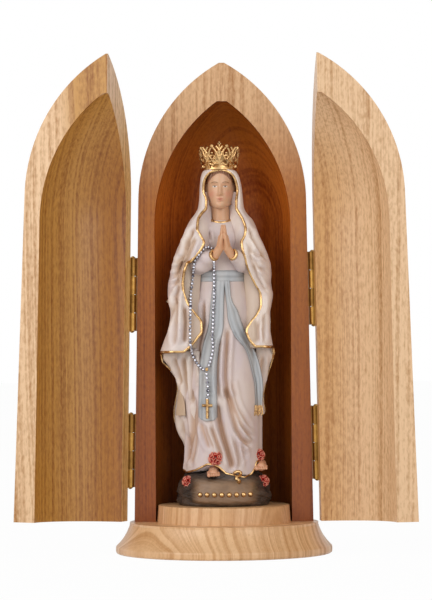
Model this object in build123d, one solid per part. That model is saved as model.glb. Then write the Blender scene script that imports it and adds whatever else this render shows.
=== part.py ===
"""Table-top wooden folding niche with a carved, painted standing figure on a turned base.

The closed niche is a turned, hollow, pointed form. Its back half is fixed to the base, and its
front half is split into two quarter shells, the doors, that swing on brass butt hinges.
Frame: millimetres, +Z up, the viewer stands at -Y, origin at the centre of the base's underside.
"""

import math
import os

from build123d import *

# Turned base
FOOT_HEIGHT = 12.7
FOOT_BAND_HEIGHT = 2.9
FOOT_EDGE_ROUND = 1.1
RIM_LEDGE = 1.95
RIM_HEIGHT = 0.9
COVE_WIDTH = 5.7
COVE_SAG = 0.75
PLINTH_HEIGHT = 7.0
PLINTH_TAPER = 0.5
PLINTH_EDGE_ROUND = 0.4

# Pointed shell, heights measured from the top of the foot
SHELL_BOTTOM_RADIUS = 36.65
SHELL_SPRING_RADIUS = 34.45
SHELL_SPRING_HEIGHT = 131.0
SHELL_ARCH_RADIUS = 65.6
WALL_THICKNESS = 6.55
BORE_SPRING_DROP = 9.4
BORE_ARCH_INSET = 2.9
TIP_BLUNT_HEIGHT = 0.6
CAVITY_BLUNT_HEIGHT = 1.4

# Fits
PLINTH_CLEARANCE = 0.6
PARTING_GAP = 0.4
MEETING_GAP = 0.4
DOOR_FLOOR_GAP = 0.5
CUT_OVERRUN = 5.0

# Doors, degrees open from closed in the stored pose
LEFT_OPEN_ANGLE = 105.9
RIGHT_OPEN_ANGLE = 93.2

# Brass hinges
HINGE_LENGTH = 30.0
HINGE_KNUCKLES = 4
HINGE_AXIS_OFFSET = 1.95
KNUCKLE_RADIUS = 1.65
KNUCKLE_END_GAP = 0.2
LEAF_NOTCH_GAP = 0.3
LEAF_THICKNESS = 0.8
LEAF_WIDTH = 9.0
LEAF_CORNER_ROUND = 1.2
PIN_RADIUS = 0.8
PIN_RUNNING_GAP = 0.05
PIN_HEAD_RADIUS = 1.25
PIN_HEAD_HEIGHT = 0.7
LEFT_HINGE_HEIGHTS = {"lower": 29.2, "upper": 93.2}
RIGHT_HINGE_HEIGHTS = {"lower": 32.2, "upper": 95.4}

# Carved figure, heights measured from the top of the plinth
FIGURE_HEIGHT = 141.0
FIGURE_SIDE_CLEARANCE = 1.9
FIGURE_HALF_DEPTH = 16.0
MANTLE_THICKNESS = 1.9
SASH_THICKNESS = 0.7

# Each row: height share, half width share, half depth share, sideways share, backward share
ROCK_SHARES = (
    (0.000, 0.700, 1.075, -0.01, -0.08),
    (0.030, 0.745, 1.160, -0.01, -0.08),
    (0.070, 0.725, 1.060, -0.01, -0.06),
    (0.100, 0.600, 0.880, 0.00, -0.03),
)
GOWN_SHARES = (
    (0.075, 0.610, 0.800, 0.00, -0.03),
    (0.115, 0.640, 0.820, 0.00, -0.03),
    (0.290, 0.585, 0.740, 0.00, -0.05),
    (0.465, 0.510, 0.640, 0.00, -0.06),
    (0.675, 0.365, 0.510, 0.00, -0.06),
    (0.765, 0.415, 0.520, 0.00, -0.05),
    (0.815, 0.345, 0.410, 0.00, -0.02),
    (0.840, 0.200, 0.330, 0.00, 0.00),
)
MANTLE_SHARES = (
    (0.235, 0.730, 0.840, -0.045, 0.12),
    (0.340, 0.745, 0.860, -0.050, 0.10),
    (0.440, 0.885, 0.900, -0.085, 0.06),
    (0.510, 0.820, 0.890, 0.000, 0.05),
    (0.640, 0.780, 0.850, 0.000, 0.05),
    (0.740, 0.665, 0.760, 0.000, 0.05),
    (0.800, 0.530, 0.680, 0.000, 0.05),
    (0.850, 0.375, 0.590, -0.015, 0.03),
    (0.905, 0.325, 0.560, -0.025, 0.01),
    (0.945, 0.300, 0.520, -0.035, 0.01),
    (0.975, 0.252, 0.430, -0.040, 0.01),
    (0.993, 0.170, 0.290, -0.040, 0.01),
    (1.000, 0.085, 0.140, -0.040, 0.01),
)
# Front edges of the mantle, from the temples down to the hem: sideways share, height share
MANTLE_LEFT_EDGE_SHARES = (
    (-0.275, 0.930),
    (-0.240, 0.890),
    (-0.390, 0.822),
    (-0.290, 0.765),
    (-0.580, 0.698),
    (-0.630, 0.645),
    (-0.345, 0.530),
    (-0.610, 0.447),
    (-1.150, 0.445),
)
MANTLE_RIGHT_EDGE_SHARES = (
    (0.265, 0.930),
    (0.220, 0.875),
    (0.360, 0.800),
    (0.295, 0.758),
    (0.430, 0.664),
    (0.605, 0.594),
    (0.375, 0.522),
    (0.485, 0.460),
    (1.150, 0.458),
)
FACE_ARCH_SHARE = 0.962
OPENING_DEPTH_SHARE = -0.12

# Head, neck and hands
HEAD_HALF_WIDTH = 5.4
HEAD_HALF_DEPTH = 6.6
HEAD_HALF_HEIGHT = 8.0
HEAD_FORWARD = 0.6
HEAD_SIDE_SHARE = -0.035
HEAD_HEIGHT_SHARE = 0.914
NECK_RADIUS = 3.5
ELBOW_PLACE_SHARES = (0.45, -0.10, 0.675)
WRIST_PLACE_SHARES = (0.135, -0.96, 0.732)
ELBOW_RADIUS = 4.0
CUFF_RADIUS = 3.2
HAND_LENGTH = 14.0
HAND_WIDTH = 4.4
HAND_THICKNESS = 2.5
HAND_TIP_SHARE = 0.42
HAND_SIDE_SHARE = 0.035
HAND_LEAN = 8.0
HAND_GAP = 0.1
BARE_FOOT_LENGTH = 5.0
TOE_WIDTH = 4.4
TOE_PLACE_SHARES = ((-0.160, -0.93, 0.103), (0.570, -0.62, 0.104))

# Sash: a band at the waist and two falling tails, outlines in sideways and height shares
SASH_BAND_SHARES = (0.656, 0.694)
SASH_LEFT_TAIL_SHARES = (
    (-0.30, 0.675),
    (0.10, 0.675),
    (0.02, 0.420),
    (-0.26, 0.245),
    (-0.93, 0.245),
    (-0.62, 0.420),
)
SASH_RIGHT_TAIL_SHARES = (
    (0.06, 0.675),
    (0.22, 0.675),
    (0.80, 0.420),
    (1.00, 0.250),
    (0.80, 0.250),
    (0.50, 0.420),
)
SASH_TAIL_DEPTH_SHARE = -0.30
SASH_LEFT_TAIL_PULL_SHARE = 0.62
SASH_RIGHT_TAIL_PULL_SHARE = 0.56

# Carved roses: radius, then sideways, backward and height shares of the rose's heart
ROSES = {
    "rose_on_left_foot": (3.0, (-0.135, -0.905, 0.141)),
    "rose_on_right_foot": (2.6, (0.560, -0.640, 0.147)),
    "rose_on_rock_left": (2.6, (-0.575, -0.935, 0.064)),
    "rose_on_rock_right": (2.6, (0.620, -0.875, 0.067)),
}
ROSE_HEART_SHARE = 0.672
ROSE_HEART_DEPTH_SHARE = 0.85
ROSE_PETAL_SHARE = 0.456
ROSE_PETAL_DEPTH_SHARE = 0.595
ROSE_RING_SHARE = 0.664
ROSE_PETALS = 5

# Crown
CROWN_BASE_RADIUS = 7.0
CROWN_TOP_RADIUS = 8.0
CROWN_BAND_HEIGHT = 2.4
CROWN_HEIGHT = 8.6
CROWN_WALL = 0.8
CROWN_POINTS = 8
CROWN_BALL_RADIUS = 0.75
CROWN_HOLE_RADIUS = 0.85
CROWN_NOTCH_SHARE = 0.72
CROWN_CROSS_HEIGHT = 2.6
CROWN_CROSS_WIDTH = 2.2
CROWN_CROSS_BAR = 0.7
CROWN_SEAT_SHARE = 0.976

# Rosary: a bead chain laid over the wrist, route in sideways, backward and height shares
ROSARY_DIAMETER = 1.4
ROSARY_BEND_SHARE = 0.45
ROSARY_LOOP_SHARES = (
    (-0.135, -1.180, 0.690),
    (-0.145, -1.080, 0.620),
    (-0.150, -0.990, 0.540),
    (-0.175, -0.960, 0.460),
    (-0.255, -0.950, 0.402),
    (-0.375, -0.930, 0.398),
    (-0.480, -0.880, 0.450),
    (-0.515, -0.840, 0.540),
    (-0.500, -0.900, 0.640),
    (-0.420, -0.960, 0.715),
    (-0.300, -1.050, 0.745),
)
ROSARY_PENDANT_SHARES = ((-0.262, -0.965, 0.394), (-0.240, -0.975, 0.350), (-0.245, -0.985, 0.310))
CROSS_HEIGHT = 6.8
CROSS_WIDTH = 4.2
CROSS_BAR = 1.1
CROSS_THICKNESS = 0.9

BORE_RADIUS = SHELL_SPRING_RADIUS - WALL_THICKNESS
BORE_SPRING_HEIGHT = SHELL_SPRING_HEIGHT - BORE_SPRING_DROP
BORE_ARCH_RADIUS = SHELL_ARCH_RADIUS - BORE_ARCH_INSET
RIM_RADIUS = SHELL_BOTTOM_RADIUS + RIM_LEDGE
FOOT_RADIUS = RIM_RADIUS + COVE_WIDTH
FIGURE_BASE = FOOT_HEIGHT + PLINTH_HEIGHT
FIGURE_HALF_WIDTH = BORE_RADIUS - FIGURE_SIDE_CLEARANCE
SHELL_TAPER = (SHELL_BOTTOM_RADIUS - SHELL_SPRING_RADIUS) / SHELL_SPRING_HEIGHT
SHELL_APEX_HEIGHT = SHELL_SPRING_HEIGHT + math.sqrt(
    SHELL_ARCH_RADIUS**2 - (SHELL_ARCH_RADIUS - SHELL_SPRING_RADIUS) ** 2
)
BORE_APEX_HEIGHT = BORE_SPRING_HEIGHT + math.sqrt(
    BORE_ARCH_RADIUS**2 - (BORE_ARCH_RADIUS - BORE_RADIUS) ** 2
)
HINGE_AXIS_RADIUS = SHELL_BOTTOM_RADIUS + HINGE_AXIS_OFFSET


def save(shape, name):
    """Write one node."""
    shape.label = name
    export_step(shape, f"parts/{name}.step")


def in_figure(shares):
    """A point of the figure from its sideways, backward and height shares."""
    side, back, height = shares
    return Vector(
        side * FIGURE_HALF_WIDTH,
        back * FIGURE_HALF_DEPTH,
        FIGURE_BASE + height * FIGURE_HEIGHT,
    )


# Turned base
def turned(profile_face):
    """A full turning of a face drawn in the XZ plane."""
    return revolve(profile_face, Axis.Z)


def base_foot():
    """Wide foot with a rounded lower band and a shallow cove up to the rim."""
    band_top = (FOOT_RADIUS, FOOT_BAND_HEIGHT)
    rim_bottom = (RIM_RADIUS, FOOT_HEIGHT - RIM_HEIGHT)
    rim_top = (RIM_RADIUS, FOOT_HEIGHT)
    outline = Polyline(rim_bottom, rim_top, (0, FOOT_HEIGHT), (0, 0), (FOOT_RADIUS, 0), band_top)
    cove = SagittaArc(band_top, rim_bottom, COVE_SAG)
    foot = turned(Plane.XZ * make_face(outline + cove))
    round_edges = foot.edges().filter_by(GeomType.CIRCLE).group_by(SortBy.RADIUS)[-1]
    return fillet(round_edges, FOOT_EDGE_ROUND)


def base_plinth():
    """Low disc that fills the bore and carries the figure."""
    low_radius = BORE_RADIUS - PLINTH_CLEARANCE
    disc = Pos(0, 0, FOOT_HEIGHT) * Cone(
        low_radius, low_radius - PLINTH_TAPER, PLINTH_HEIGHT, align=(Align.CENTER, Align.CENTER, Align.MIN)
    )
    return fillet(disc.edges().group_by(Axis.Z)[-1], PLINTH_EDGE_ROUND)


# Pointed shell and doors
def pointed_form(bottom_radius, spring_radius, spring_height, arch_radius, apex_height, blunt, overrun):
    """Half outline of a pointed turning: a tapered wall, then an arc that ends in a blunted tip."""
    centre = spring_radius - arch_radius
    blunt_height = apex_height - blunt
    blunt_radius = centre + math.sqrt(arch_radius**2 - (blunt_height - spring_height) ** 2)
    middle_height = (spring_height + blunt_height) / 2
    middle_radius = centre + math.sqrt(arch_radius**2 - (middle_height - spring_height) ** 2)
    corners = [(0, blunt_height), (0, -overrun), (bottom_radius, -overrun), (spring_radius, spring_height)]
    wall = Polyline(corners)
    arch = ThreePointArc(
        (spring_radius, spring_height), (middle_radius, middle_height), (blunt_radius, blunt_height)
    )
    tip = Line((blunt_radius, blunt_height), (0, blunt_height))
    return Plane.XZ * Pos(0, FOOT_HEIGHT) * make_face(wall + arch + tip)


def shell_sector(start_angle, sweep_angle):
    """A sector of the hollow turning about the vertical axis, angles from +X."""
    outside = pointed_form(
        SHELL_BOTTOM_RADIUS,
        SHELL_SPRING_RADIUS,
        SHELL_SPRING_HEIGHT,
        SHELL_ARCH_RADIUS,
        SHELL_APEX_HEIGHT,
        TIP_BLUNT_HEIGHT,
        0,
    )
    hollow = pointed_form(
        BORE_RADIUS,
        BORE_RADIUS,
        BORE_SPRING_HEIGHT,
        BORE_ARCH_RADIUS,
        BORE_APEX_HEIGHT,
        CAVITY_BLUNT_HEIGHT,
        CUT_OVERRUN,
    )
    wall = revolve(outside, Axis.Z, sweep_angle) - revolve(hollow, Axis.Z, 360)
    return wall.rotate(Axis.Z, start_angle)


def hinge_axis(side):
    """Tilted hinge line along the tapered edge of the shell: side is -1 for left, 1 for right."""
    foot = Vector(side * HINGE_AXIS_RADIUS, 0, FOOT_HEIGHT)
    return Axis(foot, Vector(-side * SHELL_TAPER, 0, 1))


def swung(shape, side):
    """A door piece turned from closed to its stored open pose."""
    angle = LEFT_OPEN_ANGLE if side < 0 else RIGHT_OPEN_ANGLE
    return shape.rotate(hinge_axis(side), side * angle)


def door_closed(side):
    """Quarter shell in its closed place, trimmed for its running gaps."""
    start = 180 if side < 0 else 270
    reach = SHELL_BOTTOM_RADIUS + CUT_OVERRUN
    tall = SHELL_APEX_HEIGHT + CUT_OVERRUN
    room = Box(reach, reach, tall, align=(Align.MIN, Align.MAX, Align.MIN))
    room = Pos(MEETING_GAP / 2, -PARTING_GAP, FOOT_HEIGHT + DOOR_FLOOR_GAP) * room
    if side < 0:
        room = mirror(room, Plane.YZ)
    return shell_sector(start, 90) & room


# Hinges
def knuckle_spans(owner):
    """Lower and upper ends, from the hinge's lower end, of the knuckles of one leaf."""
    pitch = HINGE_LENGTH / HINGE_KNUCKLES
    first = 0 if owner == "door" else 1
    return [
        (i * pitch + KNUCKLE_END_GAP / 2, (i + 1) * pitch - KNUCKLE_END_GAP / 2)
        for i in range(first, HINGE_KNUCKLES, 2)
    ]


def hinge_frame(side, height):
    """Plane on the hinge line at a height over the foot, its Z along the line."""
    axis = hinge_axis(side)
    origin = axis.position + axis.direction * (height / axis.direction.Z)
    return Plane(origin, x_dir=(0, 1, 0), z_dir=axis.direction)


def round_rod(radius, low, high):
    """A cylinder along local Z between two heights."""
    return Pos(0, 0, low) * Cylinder(radius, high - low, align=(Align.CENTER, Align.CENTER, Align.MIN))


def leaf_patch(side, height, owner):
    """The plate of a leaf, bent to the round of the shell and rounded at its free corners."""
    low, high = FOOT_HEIGHT + height - HINGE_LENGTH / 2, FOOT_HEIGHT + height + HINGE_LENGTH / 2

    def wall_radius(z):
        return SHELL_BOTTOM_RADIUS - SHELL_TAPER * (z - FOOT_HEIGHT)

    section = Polyline(
        (wall_radius(low), low),
        (wall_radius(low) + LEAF_THICKNESS, low),
        (wall_radius(high) + LEAF_THICKNESS, high),
        (wall_radius(high), high),
        close=True,
    )
    turn = math.degrees(LEAF_WIDTH / SHELL_SPRING_RADIUS)
    plate = revolve(Plane.XZ * make_face(section), Axis.Z, turn)
    free_edge = plate.faces().sort_by(Axis.Y)[-1]
    corners = [e for e in free_edge.edges() if e.length < LEAF_THICKNESS * math.sqrt(2)]
    plate = fillet(corners, LEAF_CORNER_ROUND)
    if owner == "door":
        plate = mirror(plate, Plane.XZ)
    return mirror(plate, Plane.YZ) if side < 0 else plate


def hinge_leaf(side, height, owner):
    """Leaf with its own knuckles, notched for the other leaf's knuckles, bored for the pin."""
    other = "niche" if owner == "door" else "door"
    frame = hinge_frame(side, height - HINGE_LENGTH / 2)
    knuckles = [frame * round_rod(KNUCKLE_RADIUS, low, high) for low, high in knuckle_spans(owner)]
    notches = [
        frame * round_rod(KNUCKLE_RADIUS + LEAF_NOTCH_GAP, low - KNUCKLE_END_GAP, high + KNUCKLE_END_GAP)
        for low, high in knuckle_spans(other)
    ]
    gap = PARTING_GAP / 2
    reach = LEAF_WIDTH + CUT_OVERRUN
    own_half = Box(
        HINGE_AXIS_RADIUS * 3, reach, SHELL_APEX_HEIGHT, align=(Align.CENTER, Align.MIN, Align.MIN)
    )
    own_half = Pos(0, gap, FOOT_HEIGHT) * own_half
    if owner == "door":
        own_half = mirror(own_half, Plane.XZ)
    bore = frame * round_rod(PIN_RADIUS + PIN_RUNNING_GAP, -CUT_OVERRUN, HINGE_LENGTH + CUT_OVERRUN)
    leaf = (leaf_patch(side, height, owner) & own_half) - notches + knuckles - bore
    return swung(leaf, side) if owner == "door" else leaf


def hinge_pin(side, height):
    """Pin with a domed head at each end."""
    frame = hinge_frame(side, height - HINGE_LENGTH / 2)
    on_centre = (Align.CENTER, Align.CENTER, Align.MIN)
    dome = Cone(PIN_HEAD_RADIUS, PIN_RADIUS / 2, PIN_HEAD_HEIGHT, align=on_centre)
    shank = round_rod(PIN_RADIUS, 0, HINGE_LENGTH)
    top_head = Pos(0, 0, HINGE_LENGTH) * dome
    low_head = mirror(dome, Plane.XY)
    return frame * (shank + top_head + low_head)


# Figure
def carved_loft(rows, grow=0.0):
    """Smooth body through elliptical sections, each grown sideways by an even amount."""
    sections = []
    for height, width, depth, side, back in rows:
        place = in_figure((side, back, height))
        ring = Ellipse(width * FIGURE_HALF_WIDTH + grow, depth * FIGURE_HALF_DEPTH + grow)
        sections.append(Plane(place) * ring)
    return loft(sections, ruled=True)


def front_prism(points, low_depth, high_depth):
    """An outline in the figure's front view carried through a range of depths."""
    outline = Polyline([Vector(p.X, p.Z) for p in points], close=True)
    # The front view's own depth runs towards the viewer
    face = Plane.XZ * make_face(outline)
    return extrude(face.moved(Location((0, low_depth, 0))), low_depth - high_depth)


def sleeve(side):
    """Tapered sleeve from the elbow to the cuff."""
    elbow, wrist = (in_figure(p) for p in (ELBOW_PLACE_SHARES, WRIST_PLACE_SHARES))
    elbow, wrist = (Vector(p.X * side, p.Y, p.Z) for p in (elbow, wrist))
    arm = wrist - elbow
    frame = Plane(elbow, z_dir=arm)
    cone = Cone(ELBOW_RADIUS, CUFF_RADIUS, arm.length, align=(Align.CENTER, Align.CENTER, Align.MIN))
    return frame * (cone + Sphere(ELBOW_RADIUS))


def head():
    """Egg-shaped head on a neck."""
    centre = in_figure((HEAD_SIDE_SHARE, 0, HEAD_HEIGHT_SHARE)) - Vector(0, HEAD_FORWARD, 0)
    skull = scale(Sphere(1.0), by=(HEAD_HALF_WIDTH, HEAD_HALF_DEPTH, HEAD_HALF_HEIGHT))
    neck_foot = in_figure((HEAD_SIDE_SHARE, 0, GOWN_SHARES[-2][0]))
    neck = Pos(neck_foot) * Cylinder(
        NECK_RADIUS, centre.Z - neck_foot.Z, align=(Align.CENTER, Align.CENTER, Align.MIN)
    )
    return Pos(centre) * skull + neck


def hand(side):
    """One raised hand, palm against the other, tapering to the finger tips."""
    wrist = in_figure(WRIST_PLACE_SHARES)
    palm = Ellipse(HAND_THICKNESS, HAND_WIDTH / 2)
    tip = Ellipse(HAND_THICKNESS * HAND_TIP_SHARE, HAND_WIDTH / 2 * HAND_TIP_SHARE)
    knuckles = Pos(0, 0, HAND_LENGTH * (1 - HAND_TIP_SHARE)) * palm
    whole = loft([palm, knuckles, Pos(0, 0, HAND_LENGTH) * tip])
    one_side = (Align.MIN, Align.CENTER, Align.CENTER)
    half_room = Box(HAND_WIDTH, HAND_WIDTH * 2, HAND_LENGTH * 2, align=one_side)
    half = whole & Pos(HAND_GAP / 2, 0, 0) * half_room
    if side < 0:
        half = mirror(half, Plane.YZ)
    across = HAND_SIDE_SHARE * FIGURE_HALF_WIDTH
    return Pos(across, wrist.Y, wrist.Z) * Rot(HAND_LEAN, 0, 0) * half


def toe(shares):
    """Front of a bare foot that shows under the hem."""
    sole = Cylinder(TOE_WIDTH / 2, BARE_FOOT_LENGTH, align=(Align.CENTER, Align.CENTER, Align.MIN))
    return Pos(in_figure(shares)) * Rot(-90, 0, 0) * (sole + Sphere(TOE_WIDTH / 2))


def rose(radius, shares):
    """Open rose: a domed heart in a ring of round petals, facing the viewer."""
    heart_size, heart_depth = radius * ROSE_HEART_SHARE, radius * ROSE_HEART_DEPTH_SHARE
    petal_size, petal_depth = radius * ROSE_PETAL_SHARE, radius * ROSE_PETAL_DEPTH_SHARE
    ring = radius * ROSE_RING_SHARE
    petal = scale(Sphere(1.0), by=(petal_size, petal_depth, petal_size))
    flower = scale(Sphere(1.0), by=(heart_size, heart_depth, heart_size))
    for turn in range(ROSE_PETALS):
        angle = math.radians(360 / ROSE_PETALS * turn)
        flower += Pos(ring * math.sin(angle), 0, ring * math.cos(angle)) * petal
    return Pos(in_figure(shares)) * flower


def mantle_opening():
    """Everything the mantle leaves open in front: the face, the breast and below the hems."""
    down_left = [in_figure((x, 0, z)) for x, z in MANTLE_LEFT_EDGE_SHARES]
    up_right = [in_figure((x, 0, z)) for x, z in reversed(MANTLE_RIGHT_EDGE_SHARES)]
    floor = FIGURE_BASE
    corners = [Vector(down_left[-1].X, 0, floor), Vector(up_right[0].X, 0, floor)]
    brow = in_figure((0, 0, FACE_ARCH_SHARE))
    points = down_left + corners + up_right + [brow]
    return front_prism(points, OPENING_DEPTH_SHARE * FIGURE_HALF_DEPTH, -2 * FIGURE_HALF_DEPTH)


def sash(gown_core):
    """Waist band and two tails, lying on the gown at an even thickness."""
    skin = carved_loft(GOWN_SHARES, SASH_THICKNESS) - gown_core
    low, high = SASH_BAND_SHARES
    reach = 2 * FIGURE_HALF_WIDTH
    band = Box(reach, reach, (high - low) * FIGURE_HEIGHT, align=(Align.CENTER, Align.CENTER, Align.MIN))
    band = Pos(in_figure((0, 0, low))) * band
    room = band
    for shares, pull in (
        (SASH_LEFT_TAIL_SHARES, SASH_LEFT_TAIL_PULL_SHARE),
        (SASH_RIGHT_TAIL_SHARES, SASH_RIGHT_TAIL_PULL_SHARE),
    ):
        points = [in_figure((x * pull, 0, z)) for x, z in shares]
        room += front_prism(points, SASH_TAIL_DEPTH_SHARE * FIGURE_HALF_DEPTH, -2 * FIGURE_HALF_DEPTH)
    return skin & room


# Crown
def crown():
    """Flared, pierced crown with ball-tipped points and a small cross in front."""
    side_share, back_share = MANTLE_SHARES[-3][3:]
    seat = in_figure((side_share, back_share, CROWN_SEAT_SHARE))
    section = Polyline(
        (CROWN_BASE_RADIUS, 0),
        (CROWN_BASE_RADIUS + CROWN_WALL, 0),
        (CROWN_TOP_RADIUS + CROWN_WALL, CROWN_HEIGHT),
        (CROWN_TOP_RADIUS, CROWN_HEIGHT),
        close=True,
    )
    wall = turned(Plane.XZ * make_face(section))
    pitch = 360 / CROWN_POINTS
    notch_half = CROWN_TOP_RADIUS * math.tan(math.radians(pitch / 2)) * CROWN_NOTCH_SHARE
    notch_foot = CROWN_HEIGHT * (1 - CROWN_NOTCH_SHARE) + CROWN_BAND_HEIGHT / 2
    notch_top = CROWN_HEIGHT + CROWN_WALL
    notch_outline = Polyline((-notch_half, notch_top), (notch_half, notch_top), (0, notch_foot), close=True)
    reach = CROWN_TOP_RADIUS + CUT_OVERRUN
    notch = extrude(Plane.XZ * make_face(notch_outline), reach)
    hole = Pos(0, 0, CROWN_BAND_HEIGHT + CROWN_HOLE_RADIUS) * Rot(90, 0, 0) * Cylinder(
        CROWN_HOLE_RADIUS, reach, align=(Align.CENTER, Align.CENTER, Align.MIN)
    )
    cuts = []
    balls = []
    tip_radius = CROWN_TOP_RADIUS + CROWN_WALL / 2
    for i in range(CROWN_POINTS):
        cuts.append(notch.rotate(Axis.Z, (i + 0.5) * pitch))
        cuts.append(hole.rotate(Axis.Z, i * pitch))
        ball = Pos(0, -tip_radius, CROWN_HEIGHT + CROWN_BALL_RADIUS / 2) * Sphere(CROWN_BALL_RADIUS)
        balls.append(ball.rotate(Axis.Z, i * pitch))
    cross_foot = (0, -tip_radius, CROWN_HEIGHT + CROWN_BALL_RADIUS)
    upright = Box(
        CROWN_CROSS_BAR, CROWN_CROSS_BAR, CROWN_CROSS_HEIGHT, align=(Align.CENTER, Align.CENTER, Align.MIN)
    )
    bar = Pos(0, 0, CROWN_CROSS_HEIGHT / 2) * Box(
        CROWN_CROSS_WIDTH, CROWN_CROSS_BAR, CROWN_CROSS_BAR, align=(Align.CENTER, Align.CENTER, Align.MIN)
    )
    return Pos(seat) * (wall - cuts + balls + Pos(cross_foot) * (upright + bar))


# Rosary
def bead_tube(shares):
    """Round tube along a route whose corners are rounded as far as its runs allow."""
    points = [in_figure(p) for p in shares]
    runs = [b - a for a, b in zip(points, points[1:])]
    radii = []
    for before, after in zip(runs, runs[1:]):
        half_turn = math.radians(before.get_angle(after)) / 2
        radii.append(ROSARY_BEND_SHARE * min(before.length, after.length) / math.tan(half_turn))
    path = FilletPolyline(*points, radius=radii)
    start = Plane(points[0], z_dir=runs[0])
    return sweep(start * Circle(ROSARY_DIAMETER / 2), path=path)


def rosary_cross():
    """Flat cross that hangs at the end of the pendant."""
    top = in_figure(ROSARY_PENDANT_SHARES[-1])
    upright = Box(CROSS_BAR, CROSS_THICKNESS, CROSS_HEIGHT, align=(Align.CENTER, Align.CENTER, Align.MAX))
    arms = Pos(0, 0, -CROSS_HEIGHT / 3) * Box(CROSS_WIDTH, CROSS_THICKNESS, CROSS_BAR)
    return Pos(top) * (upright + arms)


def make_case():
    """Base, shell, doors and hinges."""
    save(base_foot(), "base_foot")
    save(base_plinth(), "base_plinth")
    save(shell_sector(0, 180), "niche_shell")
    for side, word, heights in ((-1, "left", LEFT_HINGE_HEIGHTS), (1, "right", RIGHT_HINGE_HEIGHTS)):
        save(swung(door_closed(side), side), f"{word}_door")
        for level, height in heights.items():
            stem = f"{word}_{level}_hinge"
            save(hinge_leaf(side, height, "niche"), f"{stem}_niche_leaf")
            save(hinge_leaf(side, height, "door"), f"{stem}_door_leaf")
            save(hinge_pin(side, height), f"{stem}_pin")


def make_figure():
    """Carved figure, cut so that each painted piece meets its neighbour face to face."""
    rock = carved_loft(ROCK_SHARES)
    gown_core = carved_loft(GOWN_SHARES)
    sleeves = sleeve(-1) + sleeve(1)
    hands = hand(-1) + hand(1)
    head_solid = head() - gown_core
    gown = gown_core + sleeves - rock
    hands_solid = hands - gown
    outer, inner = carved_loft(MANTLE_SHARES), carved_loft(MANTLE_SHARES, -MANTLE_THICKNESS)
    mantle = outer - inner - mantle_opening() - gown
    sash_solid = sash(gown_core) - sleeves
    feet = [toe(p) - gown_core - rock for p in TOE_PLACE_SHARES]
    save(rock, "figure_rock")
    save(gown, "figure_gown")
    save(mantle, "figure_mantle")
    save(head_solid, "figure_head")
    save(hands_solid, "figure_hands")
    save(sash_solid, "figure_sash")
    save(Compound(children=feet), "figure_feet")
    for name, (radius, shares) in ROSES.items():
        flower = rose(radius, shares) - gown_core - rock
        for foot in feet:
            flower -= foot
        save(flower, name)
    save(crown(), "crown")
    save(bead_tube(ROSARY_LOOP_SHARES), "rosary_loop")
    save(bead_tube(ROSARY_PENDANT_SHARES), "rosary_pendant")
    save(rosary_cross(), "rosary_cross")


os.makedirs("parts", exist_ok=True)
make_case()
make_figure()
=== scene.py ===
"""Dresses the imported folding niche: waxed wood, brass hinges and the carved, painted figure inside."""

import math

import bmesh
import bpy
import numpy as np
from mathutils import Matrix, Vector
from mathutils.bvhtree import BVHTree


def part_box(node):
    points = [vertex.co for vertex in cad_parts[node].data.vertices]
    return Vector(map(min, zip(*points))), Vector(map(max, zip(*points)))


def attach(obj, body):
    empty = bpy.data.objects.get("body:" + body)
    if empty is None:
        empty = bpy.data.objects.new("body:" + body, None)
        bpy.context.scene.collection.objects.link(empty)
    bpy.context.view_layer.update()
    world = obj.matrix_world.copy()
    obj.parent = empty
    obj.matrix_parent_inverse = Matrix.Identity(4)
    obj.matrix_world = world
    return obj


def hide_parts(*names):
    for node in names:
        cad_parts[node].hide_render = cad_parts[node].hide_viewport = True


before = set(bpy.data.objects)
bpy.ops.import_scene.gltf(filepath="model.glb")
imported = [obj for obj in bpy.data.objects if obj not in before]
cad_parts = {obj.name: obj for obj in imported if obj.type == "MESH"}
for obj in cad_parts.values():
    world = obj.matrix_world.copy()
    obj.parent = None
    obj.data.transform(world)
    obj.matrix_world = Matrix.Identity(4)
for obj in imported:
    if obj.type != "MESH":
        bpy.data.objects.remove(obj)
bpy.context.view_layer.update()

bl_info = {
    "name": "Folding niche dresser",
    "version": (1, 0, 0),
    "blender": (4, 5, 0),
    "location": "View3D > Sidebar > Niche",
    "description": "Builds the finishes and carvings of a table-top folding wooden niche",
    "category": "Object",
}

MM = 0.001
ROOT = "niche"
DOORS = {"left": ("left_door_leaf", -1), "right": ("right_door_leaf", 1)}
SHELL_LOW_RADIUS = 36.65
SHELL_SPRING_RADIUS = 34.45
SHELL_SPRING_HEIGHT = 131.0
SHELL_TAPER = (SHELL_LOW_RADIUS - SHELL_SPRING_RADIUS) / SHELL_SPRING_HEIGHT
SHELL_FOOT = 12.7
LEAF_THICKNESS = 0.8
HINGE_ACROSS = 38.6
HINGE_HEIGHTS = {"left": (29.2, 93.2), "right": (32.2, 95.4)}
DOOR_SWINGS = {"left": 105.9, "right": 93.2}
# Screws of a leaf: place along the hinge in millimetres and turn round the shell in radians
SCREW_SPOTS = ((-10.0, 0.16), (0.0, 0.2), (10.0, 0.16))
SCREW_SINK = 0.02


# Colours
def mix_colours(a, b, share):
    """A colour part of the way from one to another."""
    return tuple(x + (y - x) * share for x, y in zip(a, b))


def linear(red, green, blue):
    """A screen colour, 0 to 255, as a linear RGBA value."""
    out = []
    for c in (red, green, blue):
        c /= 255
        out.append(c / 12.92 if c <= 0.04045 else ((c + 0.055) / 1.055) ** 2.4)
    return (*out, 1.0)


# Node building
def feed(tree, socket, value):
    """Links a socket to an output, or sets its constant."""
    if isinstance(value, bpy.types.NodeSocket):
        tree.links.new(value, socket)
    else:
        socket.default_value = value


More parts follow.
